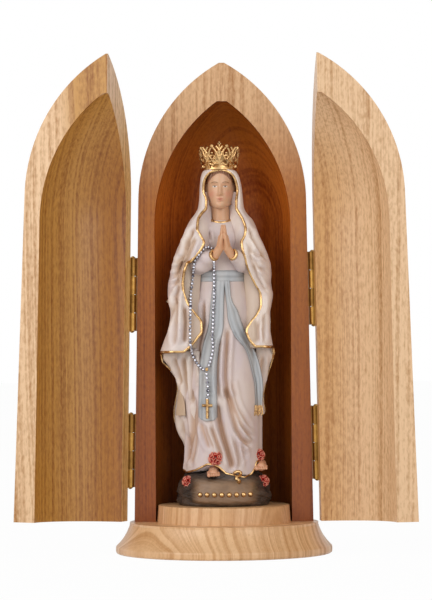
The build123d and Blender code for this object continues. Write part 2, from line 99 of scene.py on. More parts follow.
def node(tree, kind, attrs=None, **ins):
    """A new node with its attributes set and its inputs fed by name, or by number as in i0."""
    made = tree.nodes.new(kind)
    for key, value in (attrs or {}).items():
        setattr(made, key, value)
    for key, value in ins.items():
        index = int(key[1:]) if key[0] == "i" and key[1:].isdigit() else key.replace("_", " ")
        feed(tree, made.inputs[index], value)
    return made


def maths(tree, operation, a, b=0.0, c=0.0, clamp=False):
    """The value of a Math node."""
    attrs = {"operation": operation, "use_clamp": clamp}
    return node(tree, "ShaderNodeMath", attrs, i0=a, i1=b, i2=c).outputs[0]


def added(tree, value, share, start, clamp=False):
    """A share of a value added to a start."""
    return maths(tree, "MULTIPLY_ADD", value, share, start, clamp)


def from_middle(tree, value):
    """A noise value counted from its middle."""
    return maths(tree, "SUBTRACT", value, 0.5)


def mixed(tree, share, a, b, blend="MIX"):
    """The colour of a Mix node."""
    attrs = {"data_type": "RGBA", "blend_type": blend, "clamp_factor": True}
    return node(tree, "ShaderNodeMix", attrs, i0=share, i6=a, i7=b).outputs[2]


def spread(tree, value, low, high, to_low=0.0, to_high=1.0):
    """A value carried smoothly from one range to another."""
    attrs = {"interpolation_type": "SMOOTHSTEP", "clamp": True}
    made = node(tree, "ShaderNodeMapRange", attrs, i0=value, i1=low, i2=high, i3=to_low, i4=to_high)
    return made.outputs[0]


def noise(tree, vector, scale, detail=3.0, roughness=0.55):
    """The value of a Noise texture."""
    made = node(tree, "ShaderNodeTexNoise", Vector=vector, Scale=scale, Detail=detail, Roughness=roughness)
    return made.outputs["Fac"]


def upright_noise(tree, place, across, upwards, detail):
    """The value of a Noise texture with one scale across and another along the height."""
    drawn = node(tree, "ShaderNodeMapping", Vector=place, Scale=(across, across, upwards))
    return noise(tree, drawn.outputs[0], 1.0, detail)


def line_noise(tree, value, scale, detail, roughness=0.62):
    """The value of a Noise texture along one number."""
    attrs = {"noise_dimensions": "1D"}
    made = node(tree, "ShaderNodeTexNoise", attrs, W=value, Scale=scale, Detail=detail, Roughness=roughness)
    return made.outputs["Fac"]


def vector_maths(tree, operation, a, b=(0.0, 0.0, 0.0), output="Vector"):
    """The result of a Vector Math node."""
    return node(tree, "ShaderNodeVectorMath", {"operation": operation}, i0=a, i1=b).outputs[output]


def new_group(name, inputs, outputs):
    """A shader node group with named sockets, and its input and output nodes."""
    tree = bpy.data.node_groups.new(name, "ShaderNodeTree")
    for label, kind, default in inputs:
        socket = tree.interface.new_socket(label, in_out="INPUT", socket_type=kind)
        if default is not None:
            socket.default_value = default
    for label, kind in outputs:
        tree.interface.new_socket(label, in_out="OUTPUT", socket_type=kind)
    return tree, tree.nodes.new("NodeGroupInput"), tree.nodes.new("NodeGroupOutput")


FLOAT, COLOUR, VECTOR = "NodeSocketFloat", "NodeSocketColor", "NodeSocketVector"
SURFACE_OUTPUTS = [("Color", COLOUR), ("Roughness", FLOAT), ("Height", FLOAT)]


def wood_grain_group():
    """Growth lines round a distant pith, darker bands, fine fibres and short pores, all running upwards."""
    if "Wood grain" in bpy.data.node_groups:
        return bpy.data.node_groups["Wood grain"]
    inputs = [
        ("Place", VECTOR, None),
        ("Pith", VECTOR, (0.0, 0.0, 0.0)),
        ("Line pitch", FLOAT, 0.0014),
        ("Line depth", FLOAT, 0.46),
        ("Band depth", FLOAT, 0.3),
        ("Fibre depth", FLOAT, 0.85),
        ("Fleck depth", FLOAT, 1.35),
        ("Pale", COLOUR, linear(220, 180, 140)),
        ("Dark", COLOUR, linear(170, 118, 70)),
    ]
    t, gin, gout = new_group("Wood grain", inputs, SURFACE_OUTPUTS)
    place = gin.outputs["Place"]
    slow = upright_noise(t, place, 26.0, 4.0, 2.0)
    away = vector_maths(t, "SUBTRACT", place, gin.outputs["Pith"])
    reach = vector_maths(t, "LENGTH", vector_maths(t, "MULTIPLY", away, (1.0, 1.0, 0.06)), output="Value")
    across = added(t, from_middle(t, slow), 0.006, reach)
    counted = maths(t, "DIVIDE", across, gin.outputs["Line pitch"])
    lines = spread(t, line_noise(t, counted, 1.0, 4.0), 0.36, 0.68)
    bands = spread(t, line_noise(t, across, 85.0, 3.0, 0.5), 0.5, 0.68)
    patch = upright_noise(t, place, 60.0, 6.0, 2.0)
    fibre = upright_noise(t, place, 1500.0, 40.0, 3.0)
    pores = spread(t, upright_noise(t, place, 2600.0, 150.0, 2.0), 0.6, 0.72)
    fleck = upright_noise(t, place, 1000.0, 420.0, 2.0)
    body = maths(t, "MULTIPLY", lines, gin.outputs["Line depth"])
    body = added(t, from_middle(t, fleck), gin.outputs["Fleck depth"], body)
    body = added(t, bands, gin.outputs["Band depth"], body)
    body = added(t, from_middle(t, patch), 0.5, body)
    body = added(t, from_middle(t, fibre), gin.outputs["Fibre depth"], body, clamp=True)
    colour = mixed(t, body, gin.outputs["Pale"], gin.outputs["Dark"])
    colour = mixed(t, maths(t, "MULTIPLY", pores, 0.3), colour, gin.outputs["Dark"], "MULTIPLY")
    feed(t, gout.inputs["Color"], colour)
    feed(t, gout.inputs["Roughness"], added(t, body, 0.14, 0.34))
    height = added(t, pores, -0.6, maths(t, "MULTIPLY", fibre, 0.5))
    feed(t, gout.inputs["Height"], height)
    return t


def new_material(name):
    """An empty node material with its Principled shader."""
    material = bpy.data.materials.new(name)
    material.use_nodes = True
    tree = material.node_tree
    tree.nodes.clear()
    shader = tree.nodes.new("ShaderNodeBsdfPrincipled")
    out = tree.nodes.new("ShaderNodeOutputMaterial")
    tree.links.new(shader.outputs[0], out.inputs[0])
    return material, tree, shader


def coated(tree, shader, colour, roughness):
    """Feeds a shader's colour and roughness."""
    feed(tree, shader.inputs["Base Color"], colour)
    feed(tree, shader.inputs["Roughness"], roughness)


def bump(tree, shader, height, strength, distance):
    """Feeds a height to the shader's normal."""
    made = node(tree, "ShaderNodeBump", Strength=strength, Distance=distance, Height=height)
    tree.links.new(made.outputs[0], shader.inputs["Normal"])


def object_place(tree):
    """Object coordinates."""
    return tree.nodes.new("ShaderNodeTexCoord").outputs["Object"]


def hollow_share(tree, place, axis):
    """Shares of a surface that face an upright axis and that look away from it, and the surface's normal."""
    away = vector_maths(tree, "MULTIPLY", vector_maths(tree, "SUBTRACT", place, axis), (1.0, 1.0, 0.0))
    turn = tree.nodes.new("ShaderNodeTexCoord").outputs["Normal"]
    facing = vector_maths(tree, "DOT_PRODUCT", vector_maths(tree, "NORMALIZE", away), turn, "Value")
    return spread(tree, facing, -0.15, -0.35), spread(tree, facing, 0.35, 0.15), turn


# Heights in metres over which painted shade inside the niche deepens towards its floor and towards the top
# of its arch, and over which the rim's darker tone gives way to painted light at the top, and reach of the
# tint beside a hinge
LOW_SHADE_SPAN = (0.17, 0.02)
ARCH_TOP_SHADE_SPAN = (0.14, 0.18)
RIM_TOP_LIGHT_SPAN = (0.19, 0.14)
HINGE_TINT_SPAN = (0.03, 0.004)
# How far the painted shade at the niche's floor darkens its inside, and its rim in each channel
LOW_SHADE_SHARE = 0.42
LOW_RIM_SHADE_SHARES = (0.72, 0.56, 0.5, 1.0)


def wood_material(name, settings, hollow=None, rim=None, hinge=None):
    """Waxed wood. A hollow's axis and tint, where given, darken its inside as painted shade, in the niche
    deepest towards its floor and the top of its arch.
    A rim tint, where given, darkens the front edge: its own darker tone, with painted shade low down that
    gives way to painted light at the top.
    A hinge's place and its two tints darken the hollow and the flat face beside it."""
    material, t, shader = new_material(name)
    place = object_place(t)
    grain = node(t, "ShaderNodeGroup", {"node_tree": wood_grain_group()})
    feed(t, grain.inputs["Place"], place)
    for label, value in settings.items():
        feed(t, grain.inputs[label], value)
    colour = grain.outputs["Color"]
    if hollow:
        axis, stain = hollow
        inside, flat, turn = hollow_share(t, place, axis)
        height = node(t, "ShaderNodeSeparateXYZ", Vector=place).outputs["Z"]
        if rim:
            # Painted shade: the inside darker towards the niche's floor, and half way to black towards the
            # top of its arch
            low = spread(t, height, *LOW_SHADE_SPAN)
            high = spread(t, height, *ARCH_TOP_SHADE_SPAN)
            stain = mixed(t, low, stain, tuple(c * LOW_SHADE_SHARE for c in stain[:3]) + (1.0,))
            stain = mixed(t, maths(t, "MULTIPLY", high, 0.5), stain, (0.0, 0.0, 0.0, 1.0))
        colour = mixed(t, inside, colour, stain, "MULTIPLY")
        if rim:
            # The front rim: its own darker tone, with painted shade that deepens low down and gives way to
            # painted light at the top of the arch
            ahead = node(t, "ShaderNodeSeparateXYZ", Vector=turn).outputs["Y"]
            fade = spread(t, height, *RIM_TOP_LIGHT_SPAN, 0.25, 1.0)
            edge = maths(t, "MULTIPLY", spread(t, ahead, -0.9, -0.97), fade)
            shade = mixed(t, low, rim, tuple(c * k for c, k in zip(rim, LOW_RIM_SHADE_SHARES)))
            colour = mixed(t, edge, colour, shade, "MULTIPLY")
    if hinge:
        # Darker tint beside a hinge; in the left door's hollow a reddish streak with painted shade, and on
        # its flat face a paler golden tint instead
        line, stain, face_stain = hinge
        away = vector_maths(t, "MULTIPLY", vector_maths(t, "SUBTRACT", place, line), (1.0, 1.0, 0.0))
        near = spread(t, vector_maths(t, "LENGTH", away, output="Value"), *HINGE_TINT_SPAN)
        if hollow:
            near = maths(t, "MULTIPLY", near, flat)
            stain = mixed(t, inside, face_stain, stain)
        colour = mixed(t, near, colour, stain, "MULTIPLY")
    coated(t, shader, colour, grain.outputs["Roughness"])
    shader.inputs["Specular IOR Level"].default_value = 0.5
    bump(t, shader, grain.outputs["Height"], 0.2, 0.0002)
    return material


# Metals: scale and detail of the dulled patches and their span, roughness that they add to a base, and
# scale, detail and strength of a fine grain
BRASS = {"patches": (420.0, 4.0), "span": (0.3, 0.8, 0.3, 0.7), "gloss": (0.25, 0.2)}
BRASS["grain"] = (1800.0, 2.0, 0.12)
GILT = {"patches": (420.0, 4.0), "span": (0.45, 0.72), "gloss": (0.2, 0.24), "grain": (1500.0, 3.0, 0.2)}
SILVER = {"patches": (700.0, 2.0), "span": (0.5, 0.66), "gloss": (0.2, 0.18)}


def metal_material(name, bright, dull, patches, span, gloss, grain=None):
    """Metal that is dulled in patches, with a fine grain where one is given."""
    material, t, shader = new_material(name)
    place = object_place(t)
    dulled = spread(t, noise(t, place, *patches), *span)
    coated(t, shader, mixed(t, dulled, bright, dull), added(t, dulled, *gloss))
    shader.inputs["Metallic"].default_value = 1.0
    if grain:
        scale, detail, strength = grain
        bump(t, shader, noise(t, place, scale, detail), strength, 0.0001)
    return material


def paint(obj, material):
    """Gives an object one material."""
    obj.data.materials.clear()
    obj.data.materials.append(material)


# Carving tools, all in millimetres over the plinth's top
FIGURE_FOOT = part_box("base_plinth")[1].z / MM


def smooth_table(rows, keys):
    """Rows of values, keyed by their first number, carried smoothly and without overshoot to new keys."""
    rows = np.array(sorted(rows), float)
    at, values = rows[:, 0], rows[:, 1:]
    gaps = np.diff(at)[:, None]
    slopes = np.diff(values, axis=0) / gaps
    before, after = slopes[:-1], slopes[1:]
    both = before + after
    inner = np.where(before * after > 0, 2 * before * after / np.where(both == 0, 1, both), 0.0)
    tangents = np.vstack([slopes[:1], inner, slopes[-1:]])
    keys = np.atleast_1d(np.asarray(keys, float))
    i = np.clip(np.searchsorted(at, keys) - 1, 0, len(at) - 2)
    t = np.clip((keys - at[i]) / gaps[i, 0], 0, 1)[:, None]
    ease = t * t * (3 - 2 * t)
    pull = (t**3 - 2 * t**2 + t) * tangents[i] + (t**3 - t**2) * tangents[i + 1]
    return values[i] * (1 - ease) + values[i + 1] * ease + pull * gaps[i]


def step(values, low, high):
    """Smooth share from 0 at low to 1 at high."""
    t = np.clip((np.asarray(values, float) - low) / (high - low), 0, 1)
    return t * t * (3 - 2 * t)


def window(values, rise, fall):
    """Smooth share that rises over one span and falls over another."""
    return step(values, *rise) * step(-values, -fall[1], -fall[0])


def full_turn(count):
    """Even angles once round, starting and ending behind."""
    return np.linspace(-math.pi, math.pi, count, endpoint=False)


def hump(a, b, centre, size):
    """Round bump of height 1 over two coordinates."""
    return np.exp(-(((a - centre[0]) / size[0]) ** 2) - ((b - centre[1]) / size[1]) ** 2)


def grid_normals(points, wrap):
    """Unit normals of a grid of rings, outward where rings run anticlockwise and upwards."""
    if wrap:
        along = np.roll(points, -1, axis=1) - np.roll(points, 1, axis=1)
    else:
        along = np.gradient(points, axis=1)
    normals = np.cross(along, np.gradient(points, axis=0))
    return normals / np.maximum(np.linalg.norm(normals, axis=2, keepdims=True), 1e-9)


# A crease's cut and lip, as shares of its depth and width, and the longest fade at its ends
CUT_SHARE = 1.55
LIP_HEIGHT_SHARE = 0.5
LIP_PLACE_SHARE = 2.1
LIP_WIDTH_SHARE = 1.1
CREASE_FADE = 3.5


def crease_field(flat, route):
    """Distance of points from a route in the front view, and a share that fades at its ends."""
    route = np.array(route, float)
    runs = np.diff(route, axis=0)
    lengths = np.linalg.norm(runs, axis=1)
    starts = np.concatenate([[0.0], np.cumsum(lengths)])
    near = np.full(len(flat), 1e9)
    where = np.zeros(len(flat))
    for start, run, length, done in zip(route, runs, lengths, starts):
        away = flat - start
        t = np.clip(away @ run / length**2, 0, 1)
        gap = np.linalg.norm(away - t[:, None] * run, axis=1)
        closer = gap < near
        near = np.where(closer, gap, near)
        where = np.where(closer, done + t * length, where)
    end = min(CREASE_FADE, starts[-1] / 2.5)
    return near, step(where, 0, end) * step(starts[-1] - where, 0, end)


def carve(points, normals, creases):
    """Cuts fold lines into the front of a surface, with a raised lip on each side, and gives their depth."""
    flat = points[..., [0, 2]].reshape(-1, 2)
    facing = step(-normals[..., 1].ravel(), 0.0, 0.35)
    shift = np.zeros(len(flat))
    depth = np.zeros(len(flat))
    for route, width, deep in creases:
        near, fade = crease_field(flat, route)
        valley = np.exp(-((near / width) ** 2)) * fade
        lip = np.exp(-(((near - LIP_PLACE_SHARE * width) / (LIP_WIDTH_SHARE * width)) ** 2)) * fade
        shift += CUT_SHARE * deep * (LIP_HEIGHT_SHARE * lip - valley)
        depth += deep * valley
    shape = points.shape[:2]
    moved = points + normals * (shift * facing).reshape(shape)[..., None]
    return moved, (depth * facing).reshape(shape)


def wander(values, seed, waves=5):
    """Smooth seeded wavering of a row of numbers."""
    draw = np.random.default_rng(seed)
    out = np.zeros_like(np.asarray(values, float))
    for i in range(1, waves + 1):
        pace, start, size = draw.uniform(0.7, 1.3), draw.uniform(0, 6.3), draw.uniform(0.5, 1.0)
        out += np.sin(values * i * pace + start) * size / i
    return out


def turned_grid(turn, height, half_width, half_depth, across=0.0, middle=0.0):
    """Rings round an upright axis, with a half width and half depth at each height, front at angle zero."""
    x = np.reshape(across, (-1, 1)) + half_width[:, None] * np.sin(turn)
    y = middle - half_depth[:, None] * np.cos(turn)
    return np.stack([x, y, np.repeat(height[:, None], len(turn), axis=1)], axis=2)


def figure_place(points):
    """Points in figure millimetres as metres in the frame."""
    return ((np.asarray(points, float) + (0.0, 0.0, FIGURE_FOOT)) * MM).tolist()


def shown(name, data):
    """A new object in the scene."""
    obj = bpy.data.objects.new(name, data)
    bpy.context.scene.collection.objects.link(obj)
    return obj


def new_object(name, points, faces, values=None):
    """A mesh object at the origin from points in figure millimetres, with named values on its points."""
    mesh = bpy.data.meshes.new(name)
    mesh.from_pydata(figure_place(points), [], faces)
    for label, data in (values or {}).items():
        data = np.asarray(data, np.float32)
        kind = "FLOAT_COLOR" if data.ndim == 2 else "FLOAT"
        key = "color" if data.ndim == 2 else "value"
        mesh.attributes.new(label, kind, "POINT").data.foreach_set(key, data.ravel())
    mesh.update()
    mesh.shade_smooth()
    return shown(name, mesh)


def at_origin(obj):
    """Brings a small piece, made over the plinth, down to the origin, where copies are taken from."""
    for v in obj.data.vertices:
        v.co.z -= FIGURE_FOOT * MM
    return obj


def ring_faces(rings, width, wrap, offset=0, flip=False):
    """Quads between neighbouring rings of a grid."""
    last = width if wrap else width - 1
    faces = []
    for v in range(rings - 1):
        for u in range(last):
            w = (u + 1) % width
            a, b = offset + v * width + u, offset + v * width + w
            c, d = b + width, a + width
            faces.append((a, d, c, b) if flip else (a, b, c, d))
    return faces


def closed_skin(name, points, values=None):
    """A closed form from wrapped rings, its first and last ring closed by a middle point."""
    rings, width = points.shape[:2]
    flat = points.reshape(-1, 3)
    ends = [points[0].mean(0), points[-1].mean(0)]
    faces = ring_faces(rings, width, True)
    low, high = len(flat), len(flat) + 1
    for u in range(width):
        w = (u + 1) % width
        faces.append((low, w, u))
        faces.append((high, (rings - 1) * width + u, (rings - 1) * width + w))
    full = {}
    for label, data in (values or {}).items():
        data = np.asarray(data)
        tail = data.shape[2:]
        ends_data = np.stack([data[0].mean(0), data[-1].mean(0)])
        full[label] = np.concatenate([data.reshape(-1, *tail), ends_data])
    return new_object(name, np.vstack([flat, ends]), faces, full)


def shell_skin(name, points, normals, thickness, values=None):
    """A sheet of even thickness from an open grid, closed along its four edges."""
    rings, width = points.shape[:2]
    outer = points.reshape(-1, 3)
    inner = (points - normals * np.asarray(thickness)).reshape(-1, 3)
    count = len(outer)
    faces = ring_faces(rings, width, False) + ring_faces(rings, width, False, count, True)
    rim = list(range(width))
    rim += [v * width + width - 1 for v in range(1, rings)]
    rim += [(rings - 1) * width + u for u in range(width - 2, -1, -1)]
    rim += [v * width for v in range(rings - 2, 0, -1)]
    for a, b in zip(rim, rim[1:] + rim[:1]):
        faces.append((a, a + count, b + count, b))
    full = {}
    for label, data in (values or {}).items():
        data = np.asarray(data).ravel()
        full[label] = np.concatenate([data, data])
    full["lining"] = np.concatenate([np.zeros(count), np.ones(count)])
    return new_object(name, np.vstack([outer, inner]), faces, full)


def settled(obj, name):
    """Turns what an object's modifiers make of it into its own plain mesh."""
    bpy.context.view_layer.update()
    ready = obj.evaluated_get(bpy.context.evaluated_depsgraph_get())
    mesh = bpy.data.meshes.new_from_object(ready)
    obj.modifiers.clear()
    obj.data = mesh
    mesh.name = name
    mesh.shade_smooth()
    return obj


def seat(obj, material, slot, *nodes):
    """Finishes a piece of the figure: its material, its body and the nodes that it stands for. The slot is
    not used.
    """
    paint(obj, material)
    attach(obj, ROOT)
    if nodes:
        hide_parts(*nodes)
    return obj


# Geometry node trees
def new_tree(name, inputs):
    """A geometry tree with named inputs, its input and output nodes, and its inputs' identifiers."""
    tree = bpy.data.node_groups.new(name, "GeometryNodeTree")
    tree.interface.new_socket("Geometry", in_out="INPUT", socket_type="NodeSocketGeometry")
    keys = {}
    for label, kind in inputs:
        keys[label] = tree.interface.new_socket(label, in_out="INPUT", socket_type=kind).identifier
    tree.interface.new_socket("Geometry", in_out="OUTPUT", socket_type="NodeSocketGeometry")
    return tree, tree.nodes.new("NodeGroupInput"), tree.nodes.new("NodeGroupOutput"), keys


def even_curve(tree, gin, pitch):
    """A tree's chain of edges as a curve with points at the pitch that one of its inputs gives."""
    curve = node(tree, "GeometryNodeMeshToCurve", Mesh=gin.outputs["Geometry"]).outputs[0]
    attrs = {"mode": "LENGTH"}
    return node(tree, "GeometryNodeResampleCurve", attrs, Curve=curve, Length=gin.outputs[pitch]).outputs[0]


def end_tree(tree, gin, gout, geometry):
    """Ends a tree in real geometry with its material."""
    whole = node(tree, "GeometryNodeRealizeInstances", Geometry=geometry).outputs[0]
    done = node(tree, "GeometryNodeSetMaterial", Geometry=whole, Material=gin.outputs["Material"]).outputs[0]
    feed(tree, gout.inputs[0], done)


def tube_tree():
    """Rounds a chain of edges into a tube with closed ends."""
    inputs = [("Radius", FLOAT), ("Step", FLOAT), ("Material", "NodeSocketMaterial")]
    t, gin, gout, keys = new_tree("Tube along edges", inputs)
    ring = node(t, "GeometryNodeCurvePrimitiveCircle", Resolution=10, Radius=gin.outputs["Radius"])
    route = even_curve(t, gin, "Step")
    tube = node(t, "GeometryNodeCurveToMesh", Curve=route, Profile_Curve=ring.outputs[0], Fill_Caps=True)
    end_tree(t, gin, gout, tube.outputs[0])
    return t, keys


def bead_tree():
    """Sets round beads at an even pitch along a chain of edges."""
    inputs = [("Radius", FLOAT), ("Pitch", FLOAT), ("Material", "NodeSocketMaterial")]
    t, gin, gout, keys = new_tree("Beads along edges", inputs)
    bead = node(t, "GeometryNodeMeshUVSphere", Segments=14, Rings=9, Radius=gin.outputs["Radius"])
    route = even_curve(t, gin, "Pitch")
    strung = node(t, "GeometryNodeInstanceOnPoints", Points=route, Instance=bead.outputs["Mesh"])
    end_tree(t, gin, gout, strung.outputs[0])
    return t, keys


def repeat_tree():
    """Sets copies of a small piece on points, turned and sized by the points' own values."""
    inputs = [("Piece", "NodeSocketObject"), ("Material", "NodeSocketMaterial")]
    t, gin, gout, keys = new_tree("Repeat on points", inputs)
    copies = node(t, "GeometryNodeInstanceOnPoints", Points=gin.outputs["Geometry"])
    piece = node(t, "GeometryNodeObjectInfo", Object=gin.outputs["Piece"]).outputs["Geometry"]
    feed(t, copies.inputs["Instance"], piece)
    for label, kind, socket in (("turn", "FLOAT_VECTOR", "Rotation"), ("size", "FLOAT", "Scale")):
        own = node(t, "GeometryNodeInputNamedAttribute", {"data_type": kind}, Name=label).outputs[0]
        feed(t, copies.inputs[socket], own)
    end_tree(t, gin, gout, copies.outputs[0])
    return t, keys


TREES = {}


def grown(name, source, kind, settings):
    """Runs a geometry tree on a source mesh and keeps the result as a plain mesh object."""
    if kind not in TREES:
        TREES[kind] = {"tube": tube_tree, "beads": bead_tree, "repeat": repeat_tree}[kind]()
    tree, keys = TREES[kind]
    holder = shown(name, source)
    modifier = holder.modifiers.new(name, "NODES")
    modifier.node_group = tree
    for label, value in settings.items():
        modifier[keys[label]] = value
    return settled(holder, name)


def chain_mesh(name, routes):
    """Edges along one or more routes, given in figure millimetres."""
    points, edges = [], []
    for route in routes:
        first = len(points)
        points += figure_place(route)
        edges += [(i, i + 1) for i in range(first, len(points) - 1)]
    mesh = bpy.data.meshes.new(name)
    mesh.from_pydata(points, edges, [])
    return mesh


def spot_mesh(name, spots, turns, sizes):
    """Loose points, in metres, that keep how a copy on each is turned and sized."""
    mesh = bpy.data.meshes.new(name)
    mesh.from_pydata([tuple(p) for p in spots], [], [])
    flat = np.array([tuple(t) for t in turns], np.float32).ravel()
    mesh.attributes.new("turn", "FLOAT_VECTOR", "POINT").data.foreach_set("vector", flat)
    mesh.attributes.new("size", "FLOAT", "POINT").data.foreach_set("value", list(sizes))
    return mesh


def smooth_route(points, count):
    """A count of points, evenly spread, on a smooth run through a few."""
    points = np.array(points, float)
    keys = np.concatenate([[0.0], np.cumsum(np.linalg.norm(np.diff(points, axis=0), axis=1))])
    table = np.column_stack([keys, points])
    return smooth_table(table.tolist(), np.linspace(0, keys[-1], count))


# Each panel row: height, left edge across and depth, right edge across and depth, bow to the front
INNER_PANELS = {
    "left_veil": [
        (128.0, -7.4, -2.4, -5.2, -1.0, 0.2), (122.0, -8.2, -4.4, -4.2, -0.9, 0.5),
        (119.0, -9.6, -6.0, -4.3, -1.4, 0.6), (116.0, -10.8, -8.0, -4.4, -3.6, 0.8),
        (113.0, -11.0, -9.9, -5.0, -6.0, 0.9), (110.0, -9.8, -11.5, -5.4, -7.4, 0.6),
        (107.0, -8.5, -12.8, -5.2, -8.0, 0.4), (102.0, -10.0, -12.6, -4.8, -8.2, 0.4),
    ],
    "right_veil": [
        (128.0, 3.4, -1.0, 5.8, -2.4, 0.2), (122.0, 2.8, -0.9, 6.8, -4.4, 0.5),
        (119.0, 2.9, -1.4, 7.8, -6.0, 0.6), (116.0, 3.2, -3.6, 9.2, -8.0, 0.8),
        (113.0, 4.0, -6.0, 10.1, -9.9, 0.9), (110.0, 4.6, -7.4, 9.8, -11.1, 0.6),
        (107.0, 4.6, -8.0, 8.6, -12.5, 0.4), (102.0, 4.4, -8.2, 9.4, -12.4, 0.4),
    ],
    "left_lining": [
        (103.0, -12.0, -10.6, -8.0, -8.0, 0.4), (96.0, -17.2, -8.2, -8.6, -5.4, 0.8),
        (88.0, -17.6, -7.6, -9.2, -5.2, 1.2), (80.0, -15.0, -9.0, -9.6, -5.8, 1.2),
        (72.0, -12.0, -10.8, -9.8, -6.6, 0.6), (64.0, -14.0, -10.0, -10.6, -7.0, 0.4),
    ],
    "right_lining": [
        (103.0, 8.0, -8.0, 10.4, -10.6, 0.4), (96.0, 8.4, -5.4, 12.6, -9.6, 0.8),
        (88.0, 8.8, -5.2, 16.0, -7.4, 1.2), (80.0, 9.2, -5.8, 16.4, -7.6, 1.4),
        (72.0, 9.0, -6.6, 13.0, -10.0, 0.8), (64.0, 10.0, -7.0, 15.0, -10.0, 0.4),
    ],
    "left_flap": [
        (63.0, -24.2, -3.0, -9.6, -8.2, 0.6), (60.0, -24.4, -2.0, -9.6, -8.4, 0.6),
        (56.0, -21.6, -1.0, -9.8, -8.6, 0.8), (51.0, -18.9, -1.0, -10.0, -8.6, 0.8),
        (46.0, -18.5, -1.0, -10.4, -8.4, 0.6), (40.0, -19.4, 0.0, -11.0, -8.0, 0.3),
        (34.0, -19.8, 1.0, -12.0, -7.4, 0.2), (28.0, -17.6, 1.5, -12.6, -7.0, 0.2),
        (23.0, -15.8, 2.0, -13.0, -6.6, 0.2),
    ],
    "left_turn": [
        (47.0, -18.3, -2.6, -17.9, -3.2, 0.1), (44.0, -18.7, -2.4, -16.6, -4.6, 0.2),
        (41.0, -19.0, -2.4, -16.0, -5.2, 0.2), (38.0, -19.4, -2.4, -15.8, -5.6, 0.2),
        (36.6, -19.5, -2.4, -15.8, -5.8, 0.2),
    ],
    "right_flap": [
        (64.5, 13.4, -4.6, 19.8, -3.0, 0.5), (61.0, 13.4, -4.4, 20.2, -2.0, 0.5),
        (57.0, 13.4, -4.4, 19.0, -1.0, 0.6), (53.0, 13.4, -4.4, 17.9, -0.6, 0.6),
        (48.0, 13.6, -4.4, 16.9, -0.4, 0.5), (44.0, 13.6, -4.4, 16.3, -0.2, 0.4),
        (40.0, 13.6, -4.4, 16.7, 0.0, 0.3), (37.0, 13.6, -4.4, 16.9, 0.0, 0.2),
    ],
}
# For each kind of panel: its share of the lining's colour and its depth of painted shade, deepest on the
# turned lining, and points across and up
PANEL_SHADES = {"lining": (0.75, 0.0), "turn": (1.0, 0.85), "flap": (0.16, 0.0), "veil": (0.0, 0.0)}
PANEL_COUNTS = {"flap": (26, 64)}
PANEL_THICKNESS = 0.8
MANTLE_THICKNESS = 1.3
# Inset of the gilt edge, height of the veil's opening, and the height below which the hem's edge is thin
EDGE_INSET = 0.3
VEIL_OPENING = 136.7
THIN_HEM = 57.0
